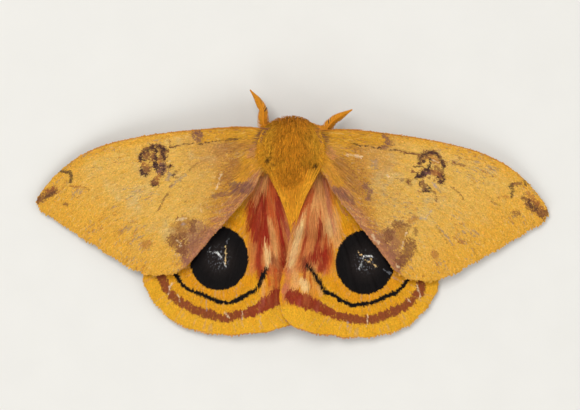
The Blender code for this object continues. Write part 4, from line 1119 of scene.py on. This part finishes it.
hair_finish = coat_material("hair", 0.5, 0.3, 0.01)
for side, word in SIDES:
    draw = np.random.default_rng(200 + side)
    top = hind_grids[side][0]
    i, j = scatter(top, HAIR_STEP, HAIR_GAP, draw)
    roots = sample(top, i, j)
    away, y = roots[:, 0] * side, roots[:, 1]
    edge = HAIR_REACH - 0.25 * np.maximum(0, y) - 0.9 * np.maximum(0, -7.6 - y)
    edge += 0.6 * mottle(away, y, 0.8, 62)
    keep = (away < edge) & (y > HAIR_END + 1.2 * draw.random(len(i)))
    i, j, roots = i[keep], j[keep], roots[keep]
    count = len(roots)
    outwards = unit(sample(surface_frame(top, -side)[1], i, j))
    from_root = roots[:, :2] - (HAIR_ROOT[0] * side, HAIR_ROOT[1])
    direction = flattened(np.column_stack([from_root, np.zeros(count)]), outwards)
    direction = turned(direction, outwards, draw.normal(0, 0.06, count))
    length = draw.uniform(0.7, 1.15, count) * (1.0 + 1.3 * smoothstep(-7.5, -2.0, roots[:, 1]))
    tips = roots + direction * length[:, None]
    clear = from_eyespot(side, tips[:, 0], tips[:, 1]) > 1.05
    i, j, roots, outwards, direction, length = (
        column[clear] for column in (i, j, roots, outwards, direction, length)
    )
    count = len(roots)
    seen = roots + direction * (draw.uniform(0.2, 0.8, count) * length)[:, None]
    shares, places = wing_places(hind_grids[side], i, j)
    colours = hind_colours(side, seen[:, 0], seen[:, 1], *shares, draw.uniform(0.2, 0.67, count))
    tufts("hindwing_hair_" + word, roots, direction, length, outwards,
          draw.uniform(0.08, 0.13, count), 0.06, varied(colours, draw), places, hair_finish,
          "hindwing", rings=(0.0, 0.3, 0.65), root_shade=0.92)

# The body: thorax, abdomen and head in one skin under a coat of dense ochre fur. The fur fans
# out over the wing roots, lies back along the abdomen and stands round the face.
COAT_DEPTH = 0.25
BODY_FRONT, BODY_END, ABDOMEN_REACH = 12.8, -8.3, 6.0
BODY_ROWS, BODY_COLUMNS = 150, 96
BLUR_ROWS, BLUR_WIDTH, END_ROWS = 6, 2.6, 7
SQUARENESS = 2.2
NOWHERE = 9.0  # a height that no part of the body reaches
VEE_PLACES = (-3.4, -1.2, 1.4, 3.7, 6.0, 6.9, 7.8)
VEE_WIDTHS = (0.05, 0.42, 1.25, 2.3, 3.4, 4.1, 5.0)
THORAX = {"middle": (7.9, 4.7), "half": (3.2, 4.5, 3.25), "bluntness": 2.7}
HEAD = {"middle": (11.6, 3.6), "half": (1.65, 1.35, 1.5), "bluntness": 2.0}
FUR, FUR_FRONT, FUR_SIDE = (204, 134, 32), (192, 120, 26), (220, 158, 44)
FUR_OLIVE, FUR_EDGE = (176, 126, 28), (226, 156, 40)
FUR_BELLY, FUR_PARTING_SHADE = (204, 134, 58), (84, 58, 28)
FUR_STEP, FUR_GAP = 0.2, 0.15
# Painted shade: small dark spots on the thorax where the fur parts.
FUR_PARTING_SHADOWS = (
    (FUR_PARTING_SHADE, 0.95, (0.24, 0.42), (-3.3, 6.65)),
    (FUR_PARTING_SHADE, 0.7, (0.16, 0.24), (-2.7, 6.2)),
    (FUR_PARTING_SHADE, 0.95, (0.2, 0.34), (2.75, 6.1)),
    (FUR_PARTING_SHADE, 0.95, (0.18, 0.32), (3.45, 6.2)),
)


def body_part(y, shape):
    """Half width, top and bottom of a blunt ball at each place along the body."""
    share = np.clip(np.abs((y - shape["middle"][0]) / shape["half"][1]), 0, 1)
    ring = (1 - share ** shape["bluntness"]) ** (1 / shape["bluntness"])
    width = (shape["half"][0] - COAT_DEPTH) * ring
    height = (shape["half"][2] - COAT_DEPTH) * ring
    inside = ring > 0.01
    top = np.where(inside, shape["middle"][1] + height, -NOWHERE)
    bottom = np.where(inside, shape["middle"][1] - height, NOWHERE)
    return width, top, bottom


y = np.linspace(BODY_FRONT, BODY_END, BODY_ROWS)
radius, middle = abdomen_shape(y)
inside = y < ABDOMEN_REACH
abdomen_half = np.where(inside, np.maximum(0.05, radius - COAT_DEPTH * 0.6), 0.05)
abdomen_half *= np.sqrt(np.clip((y - ABDOMEN_TIP) / 1.2, 0.02, 1.0))
abdomen_top = np.where(inside, middle + abdomen_half, -NOWHERE)
abdomen_bottom = np.where(inside, middle - abdomen_half, NOWHERE)
abdomen_part = (abdomen_half * 1.08, abdomen_top, abdomen_bottom)
blur = np.exp(-((np.arange(-BLUR_ROWS, BLUR_ROWS + 1) / BLUR_WIDTH) ** 2))
blur /= blur.sum()
width, top, bottom = (
    np.convolve(np.pad(choose(sizes, axis=0), BLUR_ROWS, mode="edge"), blur, "valid")
    for choose, sizes in zip(
        (np.max, np.max, np.min), zip(abdomen_part, body_part(y, THORAX), body_part(y, HEAD))
    )
)
rows = np.arange(BODY_ROWS)
closing = np.sqrt(np.clip(rows / END_ROWS, 0.02, 1)) * np.sqrt(
    np.clip(rows[::-1] / END_ROWS, 0.02, 1)
)
turn = np.linspace(0, 2 * np.pi, BODY_COLUMNS + 1)
up, sideways = np.cos(turn), -np.sin(turn)
fuller = (np.abs(up) ** SQUARENESS + np.abs(sideways) ** SQUARENESS) ** (-1 / SQUARENESS)
body_grid = np.stack(
    [
        (width * closing)[:, None] * sideways * fuller,
        y[:, None] + 0 * turn,
        ((top + bottom) / 2)[:, None] + ((top - bottom) / 2 * closing)[:, None] * up * fuller,
    ],
    axis=-1,
)


def vee_width(y):
    """Half the width of the tongue of fur that runs back from the thorax to a point."""
    return np.interp(y, VEE_PLACES, VEE_WIDTHS)


def fur_colours(points, draw):
    """Ochre fur, browner in the middle, brighter along the tongue's edges, paler below, with
    painted light on the dome's outer sides and painted shade in the spots where the fur parts.
    """
    x, y, z = points.T
    colours = all_over(FUR, x)
    tint(colours, FUR_SIDE, smoothstep(1.6, 3.4, np.abs(x + 0.3)))
    # Painted light: the dome's outer sides, which turn away from the lamps, are painted lighter.
    tint(colours, FUR_EDGE, smoothstep(3.2, 4.4, np.abs(x)) * smoothstep(10.4, 8.6, y) * 0.6)
    tint(colours, FUR_FRONT, smoothstep(10.4, 12.2, y) * 0.8)
    tint(colours, FUR_OLIVE, smoothstep(0.1, 0.9, mottle(x, y, 1.6, 71)) * 0.35)
    rim = smoothstep(1.5, 0.5, vee_width(y) - np.abs(x + 0.1)) * smoothstep(7.4, 6.2, y)
    tint(colours, FUR_EDGE, np.maximum(0.8 * rim, 0.7 * smoothstep(2.6, 0.0, y)) * (z > 4.2))
    tint(colours, FUR_BELLY, smoothstep(3.6, 2.0, z) * 0.9)
    # Painted shade in the spots where the fur parts.
    paint_marks(colours, FUR_PARTING_SHADOWS, x, y, draw)
    return colours


def closed_tube(rings):
    """Points, faces and unwrapped corners of a skin over rings, closed at both ends."""
    rows, columns = rings.shape[:2]
    poles = np.stack([rings[0].mean(axis=0), rings[-1].mean(axis=0)])
    points = np.vstack([rings.reshape(-1, 3), poles])
    i, j = (side.ravel() for side in np.meshgrid(
        np.arange(rows - 1), np.arange(columns), indexing="ij"))
    ring = np.arange(columns)
    last = np.full(columns, rows - 1)
    groups = (
        ((i, j), (i, j + 1), (i + 1, j + 1)),
        ((i, j), (i + 1, j + 1), (i + 1, j)),
        ((last * 0 - 1, ring), (last * 0, ring + 1), (last * 0, ring)),
        ((last + 1, ring), (last, ring), (last, ring + 1)),
    )
    faces, places = [], []
    for group in groups:
        corners, spots = [], []
        for row, column in group:
            index = row * columns + column % columns
            index = np.where(row < 0, rows * columns, index)
            corners.append(np.where(row > rows - 1, rows * columns + 1, index))
            spots.append(np.stack([column / columns, (row + 1) / (rows + 1)], axis=-1))
        faces.append(np.stack(corners, axis=-1))
        places.append(np.stack(spots, axis=1).reshape(-1, 2))
    return points, np.vstack(faces), 0.01 + 0.98 * np.vstack(places)


def tube_piece(name, rings, colour, material):
    """A smooth closed piece of one colour over rings of points."""
    points, faces, places = closed_tube(rings)
    colours = np.tile(colour, (len(points), 1))
    return make_piece(name, points, faces, material, colours, places, True)


skin_points, skin_faces, skin_places = closed_tube(body_grid[:, :-1])
body_finish = coat_material("body_skin", 0.8, 0.3, 0.08)
# The skin takes the fur's colours darkened a little, as painted shade in the gaps between the
# tufts.
body_skin = make_piece("body_skin", skin_points, skin_faces, body_finish,
                       fur_colours(skin_points, 0.5) * 0.85, skin_places, True)
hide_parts("thorax", "abdomen", "head")

# The short fur of the body. It covers the face, the sides, the belly and the whole abdomen,
# and lies back from the head to the tail.
EYE_CENTRE, EYE_RADIUS = (1.3, 12.0, 3.55), 0.82
fur_finish = coat_material("fur", 0.6, 0.4, 0.01)
body_normal = surface_frame(body_grid, -1)[1]


def body_roots(step, gap, draw):
    """Places for tufts on the body: points, outward directions and unwrapped places."""
    i, j = scatter(body_grid, step, gap, draw)
    roots = sample(body_grid, i, j)
    clear = np.linalg.norm(np.abs(roots) - EYE_CENTRE, axis=1) > EYE_RADIUS + 0.06
    i, j, roots = i[clear], j[clear], roots[clear]
    places = np.stack([0.01 + 0.98 * j / BODY_COLUMNS, 0.01 + 0.98 * i / BODY_ROWS], axis=-1)
    return roots, unit(sample(body_normal, i, j)), places


draw = np.random.default_rng(300)
roots, outwards, places = body_roots(FUR_STEP, FUR_GAP, draw)
count = len(roots)
x, y, z = roots.T
front = smoothstep(9.8, 12.2, y)
direction = np.column_stack([np.sign(x) * 0.5 * front, 1.6 * front - 1.0, -0.5 * front])
direction = flattened(direction + draw.normal(0, 0.1, direction.shape), outwards)
length = (0.95 - 0.45 * smoothstep(11.0, 11.8, y)) * draw.uniform(0.75, 1.2, count)
colours = fur_colours(roots + direction * (0.5 * length)[:, None], draw.uniform(0.2, 0.8, count))
tufts("body_fur", roots, direction, length, outwards, draw.uniform(0.1, 0.17, count), 0.18,
      varied(colours, draw), places, fur_finish, "fur", root_shade=0.75)

# The long fur of the back. It stands out from the thorax and the crown, bends over and lies
# back, so that it makes one smooth dome over the head and the roots of the wings.
COAT_CENTRE, COAT_HALF = (-0.35, 9.0, 4.1), (4.3, 4.05, 4.25)
COAT_REAR = 7.0
DOME_STEP, DOME_GAP, DOME_BACK = 0.11, 0.075, 3.2
WING_CLEARANCE = 0.32


def onto_coat(points):
    """Points moved out to the dome, and kept above the wings and inside the tongue."""
    gap = (points - COAT_CENTRE) / COAT_HALF
    gap[:, 1] *= np.where(gap[:, 1] > 0, 1, COAT_HALF[1] / COAT_REAR)
    x, y, z = (COAT_CENTRE + (points - COAT_CENTRE) / np.linalg.norm(gap, axis=1)[:, None]).T
    x = np.clip(x, -vee_width(y), vee_width(y))
    over_wing = (np.abs(x) > 2.7) & (y < 11.3)
    z = np.where(over_wing, np.maximum(z, fore_height(x, y, RIGHT) + WING_CLEARANCE), z)
    return np.column_stack([x, y, z])


def reaching(leave):
    """The directions and the lengths of vectors from roots to tips."""
    return unit(leave), np.linalg.norm(leave, axis=1)


draw = np.random.default_rng(310)
roots, outwards, places = body_roots(DOME_STEP, DOME_GAP, draw)
keep = roots[:, 1] > DOME_BACK + 2.2 * draw.random(len(roots))
keep &= roots[:, 2] > 4.0 + 0.9 * smoothstep(9.5, 6.0, roots[:, 1])
roots, outwards, places = roots[keep], outwards[keep], places[keep]
count = len(roots)
over = onto_coat(roots + draw.normal(0, 0.2, roots.shape))
over += (over - COAT_CENTRE) * draw.normal(0, 0.022, (count, 1))
back = np.column_stack([
    0.12 * over[:, 0] + draw.normal(0, 0.25, count), np.full(count, -1.0),
    0.7 * smoothstep(11.5, 13.0, over[:, 1]),
])
reach = draw.uniform(0.6, 1.1, count)[:, None]
tips = onto_coat(over + unit(back) * reach) - outwards * draw.uniform(0.0, 0.14, count)[:, None]
leave = 4 * over - 3 * roots - tips
colours = fur_colours(tips, draw.uniform(0.2, 0.8, count))
clumps = mottle(tips[:, 0], 0.7 * tips[:, 1], 0.2, 72) * smoothstep(12.0, 10.0, tips[:, 1])
colours *= (1 + 0.2 * clumps)[:, None]
tufts("dome_fur", roots, *reaching(leave), unit(over - COAT_CENTRE),
      draw.uniform(0.06, 0.1, count), 0.0, varied(colours, draw, 0.22), places, fur_finish,
      "fur", rings=(0.0, 0.4, 0.72), root_shade=0.58, bend=2 * (roots + tips - 2 * over))

# The tongue of fur behind the thorax. It lies on the front of the abdomen and on the inner
# edges of the hindwings, bright yellow along both sides, and ends in a point.
TONGUE_TUFTS = 5600
TONGUE_FRONT, TONGUE_BACK, VEE_TIP = 6.4, -2.1, -3.3
RIDGE_PLACES, RIDGE_HEIGHTS = (-2.5, 0.0, 3.0, 4.8, 6.4), (4.95, 5.35, 6.3, 7.3, 7.8)
UPWARDS = (0.0, 0.0, 1.0)


def tongue_height(x, y):
    """The height of the tongue, which has a ridge along its middle and covers the wings."""
    share = np.abs(x) / np.maximum(vee_width(y), 0.1)
    middle = np.interp(y, RIDGE_PLACES, RIDGE_HEIGHTS)
    wing = np.maximum(hind_height(np.abs(x), y, LEFT), hind_height(np.abs(x), y, RIGHT))
    return np.maximum(middle - 0.7 * share**2 * smoothstep(-1.0, 5.0, y), wing + 0.22)


draw = np.random.default_rng(320)
y = TONGUE_FRONT + (TONGUE_BACK - TONGUE_FRONT) * draw.random(TONGUE_TUFTS)
keep = draw.random(TONGUE_TUFTS) < (vee_width(y) + 0.3) / 3.9
y = y[keep]
count = len(y)
share = draw.uniform(-1, 1, count)
y = y - 0.8 * share**2 * smoothstep(4.6, 6.4, y) * draw.random(count)
x = share * vee_width(y)
ahead = np.maximum(y - draw.uniform(1.0, 1.7, count), VEE_TIP + 0.3 * draw.random(count))
aim_x = share * vee_width(ahead) + 0.12 * smoothstep(2.0, -2.0, ahead)
roots = np.column_stack([x, y, tongue_height(x, y) - 0.1])
leave = np.column_stack([aim_x - x, ahead - y, tongue_height(aim_x, ahead) + 0.02 - roots[:, 2]])
colours = fur_colours(roots + 0.5 * leave, draw.uniform(0.2, 0.8, count))
places = np.column_stack([0.5 + 0.4 * share, 0.1 + 0.8 * (TONGUE_FRONT - y) / 8])
tufts("tongue_fur", roots, *reaching(leave), UPWARDS, draw.uniform(0.07, 0.11, count), 0.06,
      varied(colours, draw, 0.2), places, fur_finish, "fur", rings=(0.0, 0.35, 0.7),
      root_shade=0.75)

# The fur round the wings' joints. Loose hairs lie from the sides of the thorax out and back
# over each wing, and hide the joints.
JOINT_HAIRS, JOINT_BACK, JOINT_FRONT = 1500, 6.3, 11.4
for side, word in SIDES:
    draw = np.random.default_rng(325 + side)
    count = JOINT_HAIRS
    y = draw.uniform(JOINT_BACK, JOINT_FRONT, count)
    gap = np.clip((y - COAT_CENTRE[1]) / COAT_HALF[1], -0.6, 0.6)
    x = side * (COAT_HALF[0] * np.sqrt(1 - gap * gap) - draw.uniform(0.4, 1.6, count))
    x = np.clip(x + COAT_CENTRE[0], -vee_width(y), vee_width(y))
    sweep = np.interp(y, (JOINT_BACK, 9.0, JOINT_FRONT), (62, 48, 12))
    sweep = np.radians(sweep + draw.normal(0, 12, count))
    reach = draw.uniform(0.7, 1.5, count)
    aim_x = x + side * np.cos(sweep) * reach
    aim_y = y - np.sin(sweep) * reach
    roots = np.column_stack([x, y, fore_height(x, y, side) + draw.uniform(0.15, 0.45, count)])
    aim_z = fore_height(aim_x, aim_y, side) + draw.uniform(0.12, 0.3, count)
    leave = np.column_stack([aim_x, aim_y, aim_z]) - roots
    colours = fur_colours(roots, draw.uniform(0.2, 0.8, count))
    outer = smoothstep(3.0, 4.4, np.abs(aim_x))
    tint(colours, WING_BASE_YELLOW,
         draw.uniform(0.3, 1.1, count) * outer * smoothstep(10.5, 8.5, y))
    tint(colours, PURPLE, (draw.random(count) < 0.7) * outer * smoothstep(9.3, 10.0, y) * 0.75)
    places = np.column_stack([0.5 + 0.4 * side * (y - 6) / 6, 0.2 + 0.5 * draw.random(count)])
    tufts("joint_fur_" + word, roots, *reaching(leave), UPWARDS, draw.uniform(0.07, 0.11, count),
          0.18, varied(colours, draw, 0.14), places, fur_finish, "fur", root_shade=0.8)

# The fur under the forewings. It hangs from each forewing's root to the hindwing below and
# closes the gap between the two beside the thorax.
FLANK_HAIRS, FLANK_HAIRS_AHEAD = 1300, 1400
BACKWARDS = (0.0, -1.0, 0.0)
for side, word in SIDES:
    draw = np.random.default_rng(327 + side)
    under = fore_grids[side][1]
    i = 1 + 19 * draw.random(FLANK_HAIRS) ** 1.2
    j = under.shape[1] - 1.2 - 5 * draw.random(FLANK_HAIRS) ** 1.5
    x = draw.uniform(3.8, 8.4, FLANK_HAIRS_AHEAD)
    y = 6.9 - 0.28 * (x - 4) - 1.3 * draw.random(FLANK_HAIRS_AHEAD) ** 1.5
    ahead = np.column_stack([side * x, y, fore_height(side * x, y, side) - 0.4])
    roots = np.vstack([sample(under, i, j), ahead])
    count = len(roots)
    x = roots[:, 0] + side * draw.uniform(-0.3, 0.5, count)
    y = roots[:, 1] - draw.uniform(-0.2, 0.45, count)
    below = hind_height(np.abs(x), y, side) + 0.1
    leave = np.column_stack([x, y, below + 0.3 * draw.random(count)]) - roots
    colours = all_over(FUR_SIDE, x)
    tint(colours, MARGIN_PINK, 0.75 * draw.random(count))
    tint(colours, FLAME, 0.5 * (draw.random(count) < 0.3))
    outer = (np.abs(roots[:, 0]) - 3) / 5.6
    places = np.column_stack([0.5 + 0.4 * side * outer, 0.1 + 0.4 * draw.random(count)])
    tufts("flank_fur_" + word, roots, *reaching(leave), BACKWARDS,
          draw.uniform(0.08, 0.13, count), 0.12, varied(colours, draw, 0.16), places, fur_finish,
          "fur", root_shade=0.75)

# The hair on the forewings' roots. Soft hairs lie out along each wing from the thorax, in
# the colours of the wing under them, and reach farther out beside the inner edge.
SHORT_HAIR_STEP, SHORT_HAIR_GAP = 0.24, 0.13
for side, word in SIDES:
    draw = np.random.default_rng(330 + side)
    top, _, out, across = fore_grids[side]
    i, j = scatter(top, SHORT_HAIR_STEP, SHORT_HAIR_GAP, draw)
    limit = 0.13 + 0.2 * smoothstep(0.55, 0.9, sample(across, i, j)) + 0.06 * draw.random(len(i))
    keep = sample(out, i, j) < limit
    i, j = i[keep], j[keep]
    roots = sample(top, i, j)
    count = len(roots)
    direction, outwards = lying(top, -side, i, j, 0.1, draw)
    reach = draw.uniform(0.9, 1.8, count)
    seen = roots + direction * (0.5 * reach)[:, None]
    shares, places = wing_places(fore_grids[side], i, j)
    colours = fore_colours(side, seen[:, 0], seen[:, 1], *shares, draw.uniform(0.2, 0.8, count))
    tufts("forewing_hair_" + word, roots, direction, reach, outwards,
          draw.uniform(0.09, 0.15, count), 0.07, varied(colours, draw, 0.12), places,
          hair_finish, "wing", root_shade=0.8)

# The wings' fringes. Narrow scales, about two deep, stand out from each outer margin and give
# it a soft edge.
FRINGE_GAP, FRINGE_LENGTH, FRINGE_WIDTH = 0.06, 0.42, 0.11
for side, word in SIDES:
    draw = np.random.default_rng(340 + side)
    for wing_name, grids, painter, slot_name in (
        ("forewing", fore_grids, fore_colours, "wing"),
        ("hindwing", hind_grids, hind_colours, "hindwing"),
    ):
        top, under, out = grids[side][:3]
        middle = (top + under) / 2
        rows, columns = out.shape
        run = np.linalg.norm(np.diff(middle[-1], axis=0), axis=1).sum()
        count = 2 * int(run / FRINGE_GAP)
        j = draw.uniform(0, columns - 1, count)
        i = np.full(count, rows - 1.6) - draw.uniform(0, 0.8, count)
        lift = draw.uniform(-0.05, 0.07, count)
        direction, outwards = lying(middle, -side, i, j, 0.13, draw)
        roots = sample(middle, i, j) + outwards * lift[:, None]
        length = FRINGE_LENGTH * draw.uniform(0.75, 1.15, count)
        shares, places = wing_places(grids[side], i, j)
        colours = painter(side, roots[:, 0], roots[:, 1], *shares, draw.uniform(0.2, 0.8, count))
        if wing_name == "hindwing" and side == RIGHT:
            worn = smoothstep(9.5, 7.5, roots[:, 0]) * (draw.random(count) < 0.55)
            tint(colours, MARGIN_PINK, worn * 0.8)
            length *= 1 + 0.5 * worn * draw.uniform(-1, 1, count)
        scales(f"{wing_name}_fringe_{word}", roots, direction, outwards, length,
               FRINGE_WIDTH * draw.uniform(0.8, 1.2, count), varied(colours, draw, 0.08), places)

# The eyes. Each is a compound eye, a dark glossy ball of chitin made of many small facets, and
# is set in the side of the head, clear of the fur.
EYE_TINT, EYE_GLEAM = (34, 24, 20), (52, 34, 26)
FACET_WIDTH, FACET_DEPTH = 0.055, 0.02


def ball_rings(centre, radius, rows=26, columns=40):
    """Rings of points round a ball, from its rear to its front."""
    turn = np.arange(columns) / columns * 2 * np.pi
    tilt = np.pi * (np.arange(rows) + 0.5) / rows
    ring = np.sin(tilt)[:, None]
    flat = np.stack([ring * np.cos(turn), -np.cos(tilt)[:, None] + 0 * turn,
                     -ring * np.sin(turn)], axis=-1)
    return np.array(centre) + radius * flat


eye_finish = new_material("compound_eye", 0.16, 0.6)
eye_cells = add_node(eye_finish, "ShaderNodeTexVoronoi")
eye_place = add_node(eye_finish, "ShaderNodeTexCoord")
eye_cells.inputs["Scale"].default_value = 1 / (FACET_WIDTH * MM)
join_up(eye_finish, eye_place.outputs["Object"], eye_cells.inputs["Vector"])
from_facet = eye_cells.outputs["Distance"]
colour_from(eye_finish, add_ramp(eye_finish, from_facet, (0.1, EYE_GLEAM), (0.5, EYE_TINT)))
eye_dome = add_node(eye_finish, "ShaderNodeMath", operation="MULTIPLY")
eye_dome.inputs[1].default_value = -1.0
join_up(eye_finish, from_facet, eye_dome.inputs[0])
add_bump(eye_finish, eye_dome.outputs["Value"], FACET_DEPTH)
for side, word in SIDES:
    centre = (EYE_CENTRE[0] * side, *EYE_CENTRE[1:])
    eye = tube_piece("eye_ball_" + word, ball_rings(centre, EYE_RADIUS), tone(*EYE_TINT),
                     eye_finish)
    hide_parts("eye_" + word)

# The palps. Two short feelers of three joints hang in front of the mouth. Each is a thin tube
# of chitin under short fur, and is fixed to the front of the head below the eyes.
PALP_PATH = ((0.5, 12.2, 2.75), (0.55, 12.5, 2.45), (0.6, 12.65, 2.1), (0.6, 12.6, 1.8))
PALP_RADII = (0.2, 0.24, 0.2, 0.1)
PALP_RINGS = 14


def tube_rings(path, radii, columns=12):
    """Rings of points round a path, with its own radius at each point."""
    path = np.asarray(path, float)
    ahead = unit(np.gradient(path, axis=0))
    first = flattened(np.tile(UPWARDS, (len(path), 1)), ahead)
    second = np.cross(ahead, first)
    turn = np.arange(columns) / columns * 2 * np.pi
    spread = first[:, None] * np.cos(turn)[None, :, None]
    spread = spread + second[:, None] * np.sin(turn)[None, :, None]
    return path[:, None] + spread * np.asarray(radii, float)[:, None, None]


def limb_coat(name, rings, step, gap, reach, width, rise, shades, draw, slot):
    """Tufts that lie along a limb from its root to its end."""
    grid = np.concatenate([rings, rings[:, :1]], axis=1)
    i, j = scatter(grid, step, gap, draw)
    count = len(i)
    share = i / (len(grid) - 1)
    direction, outwards = lying(grid, -1, i, j, 0.12, draw)
    colours = all_over(shades[0], share)
    tint(colours, shades[1], smoothstep(0.2, 0.9, share + draw.normal(0, 0.12, count)))
    places = np.stack([0.01 + 0.98 * j / rings.shape[1], 0.01 + 0.98 * share], axis=-1)
    tufts(name, sample(grid, i, j), direction, reach(share) * draw.uniform(0.8, 1.2, count),
          outwards, width * draw.uniform(0.8, 1.2, count), rise, varied(colours, draw), places,
          fur_finish, slot)


for side, word in SIDES:
    draw = np.random.default_rng(350 + side)
    path = curve_through([(x * side, y, z) for x, y, z in PALP_PATH], PALP_RINGS)
    radii = np.interp(np.linspace(0, 1, PALP_RINGS), np.linspace(0, 1, 4), PALP_RADII)
    rings = tube_rings(path, radii)
    palp = tube_piece("palp_core_" + word, rings, tone(*FUR_FRONT) * 0.8, body_finish)
    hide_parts("palp_" + word)
    limb_coat("palp_fur_" + word, rings, 0.09, 0.08, lambda share: 0.3 - 0.1 * share, 0.09, 0.2,
              (FUR, FUR_FRONT), draw, "head")

# The feelers. A bare jointed shaft carries two rows of fine rays, which fold down on either
# side of it, so that from above each feeler looks like one tapered orange band.
FEELER_PATHS = {
    LEFT: ((-0.7, 12.0, 4.4), (-2.0, 11.7, 4.75), (-3.3, 11.35, 4.95), (-4.0, 11.7, 5.0),
           (-4.15, 12.7, 4.9), (-4.2, 13.7, 4.75), (-4.85, 15.0, 4.5), (-5.95, 16.4, 4.2)),
    RIGHT: ((0.7, 12.0, 4.4), (1.9, 11.6, 4.75), (3.1, 11.15, 4.95), (4.0, 11.2, 5.0),
            (4.6, 12.0, 4.9), (5.2, 12.65, 4.75), (6.2, 13.3, 4.55), (7.6, 14.1, 4.3)),
}
FEELER_ORANGE, FEELER_SHAFT = (238, 158, 34), (216, 136, 30)
SHAFT_RINGS, SHAFT_RADIUS, SHAFT_JOINTS = 90, 0.2, 30
RAY_PAIRS, RAY_START, RAY_LENGTH, RAY_DROOP = 86, {LEFT: 0.3, RIGHT: 0.2}, 1.4, 60.0
RAY_RADIUS, BASE_STRETCH = 0.043, 0.2
RAY_POINTS, RAY_TAPER = (0.05, 0.3, 0.55, 0.8, 1.0), np.array((1.1, 1.2, 1.15, 0.95, 0.5))
FEELER_NOTCHES = (38, 39, 43)
feeler_finish = coat_material("feeler", 0.55, 0.15, 0.01)
for side, word in SIDES:
    draw = np.random.default_rng(360 + side)
    path = curve_through(FEELER_PATHS[side], SHAFT_RINGS)
    share = np.linspace(0, 1, SHAFT_RINGS)
    joints = 1 + 0.12 * np.sin(share * math.pi * 2 * SHAFT_JOINTS)
    radii = SHAFT_RADIUS * (1 - 0.55 * smoothstep(0.4, 1.0, share)) * joints
    shaft = tube_piece("feeler_shaft_" + word, tube_rings(path, radii, 10),
                       tone(*FEELER_SHAFT), feeler_finish)
    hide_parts("antenna_" + word)
    rays, used = [], 0
    for number in range(RAY_PAIRS):
        at = RAY_START[side] + (0.985 - RAY_START[side]) * number / (RAY_PAIRS - 1)
        root = along(path, at)
        ahead = unit(along(path, min(1.0, at + 0.02)) - along(path, at - 0.02))
        outward = unit(np.cross(ahead, UPWARDS))
        full = RAY_LENGTH * (1 - 0.2 * smoothstep(0.45, 0.6, at)) * (1 - smoothstep(0.6, 1.1, at))
        for hand in (1, -1):
            droop = math.radians(RAY_DROOP + draw.uniform(-2, 2))
            reach = full * draw.uniform(0.96, 1.04)
            near_head = (hand == -side) * smoothstep(0.52, 0.38, at)
            reach *= 1 + BASE_STRETCH * near_head
            lean = 0.5 * (1 - near_head)
            leave = outward * hand * math.cos(droop) + np.array((0, 0, -math.sin(droop)))
            ends = [root + leave * reach * a + ahead * reach * lean * a**1.6
                    - np.array((0, 0, 0.12 * reach * a * a)) for a in RAY_POINTS]
            points, faces, places = closed_tube(tube_rings(ends, RAY_RADIUS * RAY_TAPER, 6))
            places = (at, 0.5 + 0.3 * hand) + (places - 0.5) * PATCH
            light = tone(*FEELER_ORANGE) * draw.uniform(0.78, 1.18)
            if hand == -side and number in FEELER_NOTCHES:
                light = tone(*DARK)
            rays.append((points, faces + used, np.tile(light, (len(points), 1)), places))
            used += len(points)
    points, faces, shades, places = (np.vstack(group) for group in zip(*rays))
    make_piece("feeler_rays_" + word, points, faces, feeler_finish, shades, places,
               True)

# The legs. Each has a furred thigh and shin and a slim foot of five joints that ends in a
# pair of claws. The feet stand on the board, and the moth's weight rests on them and its tail.
LEG_PATHS = {
    "front": ((1.3, 9.3, 2.3), (3.7, 10.5, 2.5), (4.9, 10.2, 0.8), (7.4, 9.6, 0.16)),
    "middle": ((1.5, 7.4, 2.2), (4.6, 7.0, 2.5), (6.2, 6.0, 0.8), (8.9, 5.2, 0.16)),
    "hind": ((1.5, 5.6, 2.3), (4.2, 3.2, 2.2), (5.6, 0.6, 0.75), (7.2, -2.0, 0.16)),
}
LEG_SHARES = (0, 0.15, 0.32, 0.38, 0.6, 0.66, 1.0)
LEG_RADII = (0.3, 0.42, 0.3, 0.24, 0.2, 0.13, 0.09)
LEG_RINGS, FOOT_START, FOOT_LENGTH, FOOT_JOINTS = 70, 0.66, 0.34, 5
CLAW_PATH = ((-0.05, 0.04, 0.0), (0.14, 0.1, 0.05), (0.28, 0.14, 0.0), (0.33, 0.15, -0.1))
CLAW_RADII = (0.05, 0.045, 0.03, 0.012)
LEG_SKIN, LEG_FUR, FOOT_FUR, CLAW = (128, 70, 42), (176, 108, 56), (150, 84, 50), (60, 34, 22)
leg_finish = coat_material("leg_skin", 0.5, 0.2, 0.02)
for leg_name, corners in LEG_PATHS.items():
    for side, word in SIDES:
        draw = np.random.default_rng(370 + side + len(leg_name))
        hip, knee, ankle, toe = (np.array((x * side, y, z)) for x, y, z in corners)
        stops = (hip, hip + (knee - hip) * 0.5, knee, ankle + (knee - ankle) * 0.5, ankle,
                 ankle + (toe - ankle) * 0.4, toe)
        path = curve_through(stops, LEG_RINGS)
        share = np.linspace(0, 1, LEG_RINGS)
        foot = smoothstep(0.64, 0.68, share)
        joints = np.sin((share - FOOT_START) / FOOT_LENGTH * 2 * FOOT_JOINTS * math.pi)
        radii = np.interp(share, LEG_SHARES, LEG_RADII) * (1 + foot * 0.22 * joints)
        path[:, 2] = np.maximum(path[:, 2], radii + 0.01)
        rings = tube_rings(path, radii, 14)
        core = tube_piece(f"leg_core_{leg_name}_{word}", rings, tone(*LEG_SKIN), leg_finish)
        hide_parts(f"leg_{leg_name}_{word}")
        limb_coat(f"leg_fur_{leg_name}_{word}", rings, 0.17, 0.11,
                  lambda share: 0.75 - 0.55 * smoothstep(0.5, 0.68, share), 0.12,
                  0.16, (LEG_FUR, FOOT_FUR), draw, "leg")
        ahead = unit((toe - ankle) * (1, 1, 0))
        over = np.cross(ahead, UPWARDS)
        for hand, claw_word in ((1, "inner"), (-1, "outer")):
            hook = [toe + ahead * a + over * hand * b + np.array((0, 0, c))
                    for a, b, c in CLAW_PATH]
            tube_piece(f"claw_{leg_name}_{word}_{claw_word}", tube_rings(hook, CLAW_RADII, 6),
                       tone(*CLAW), leg_finish)
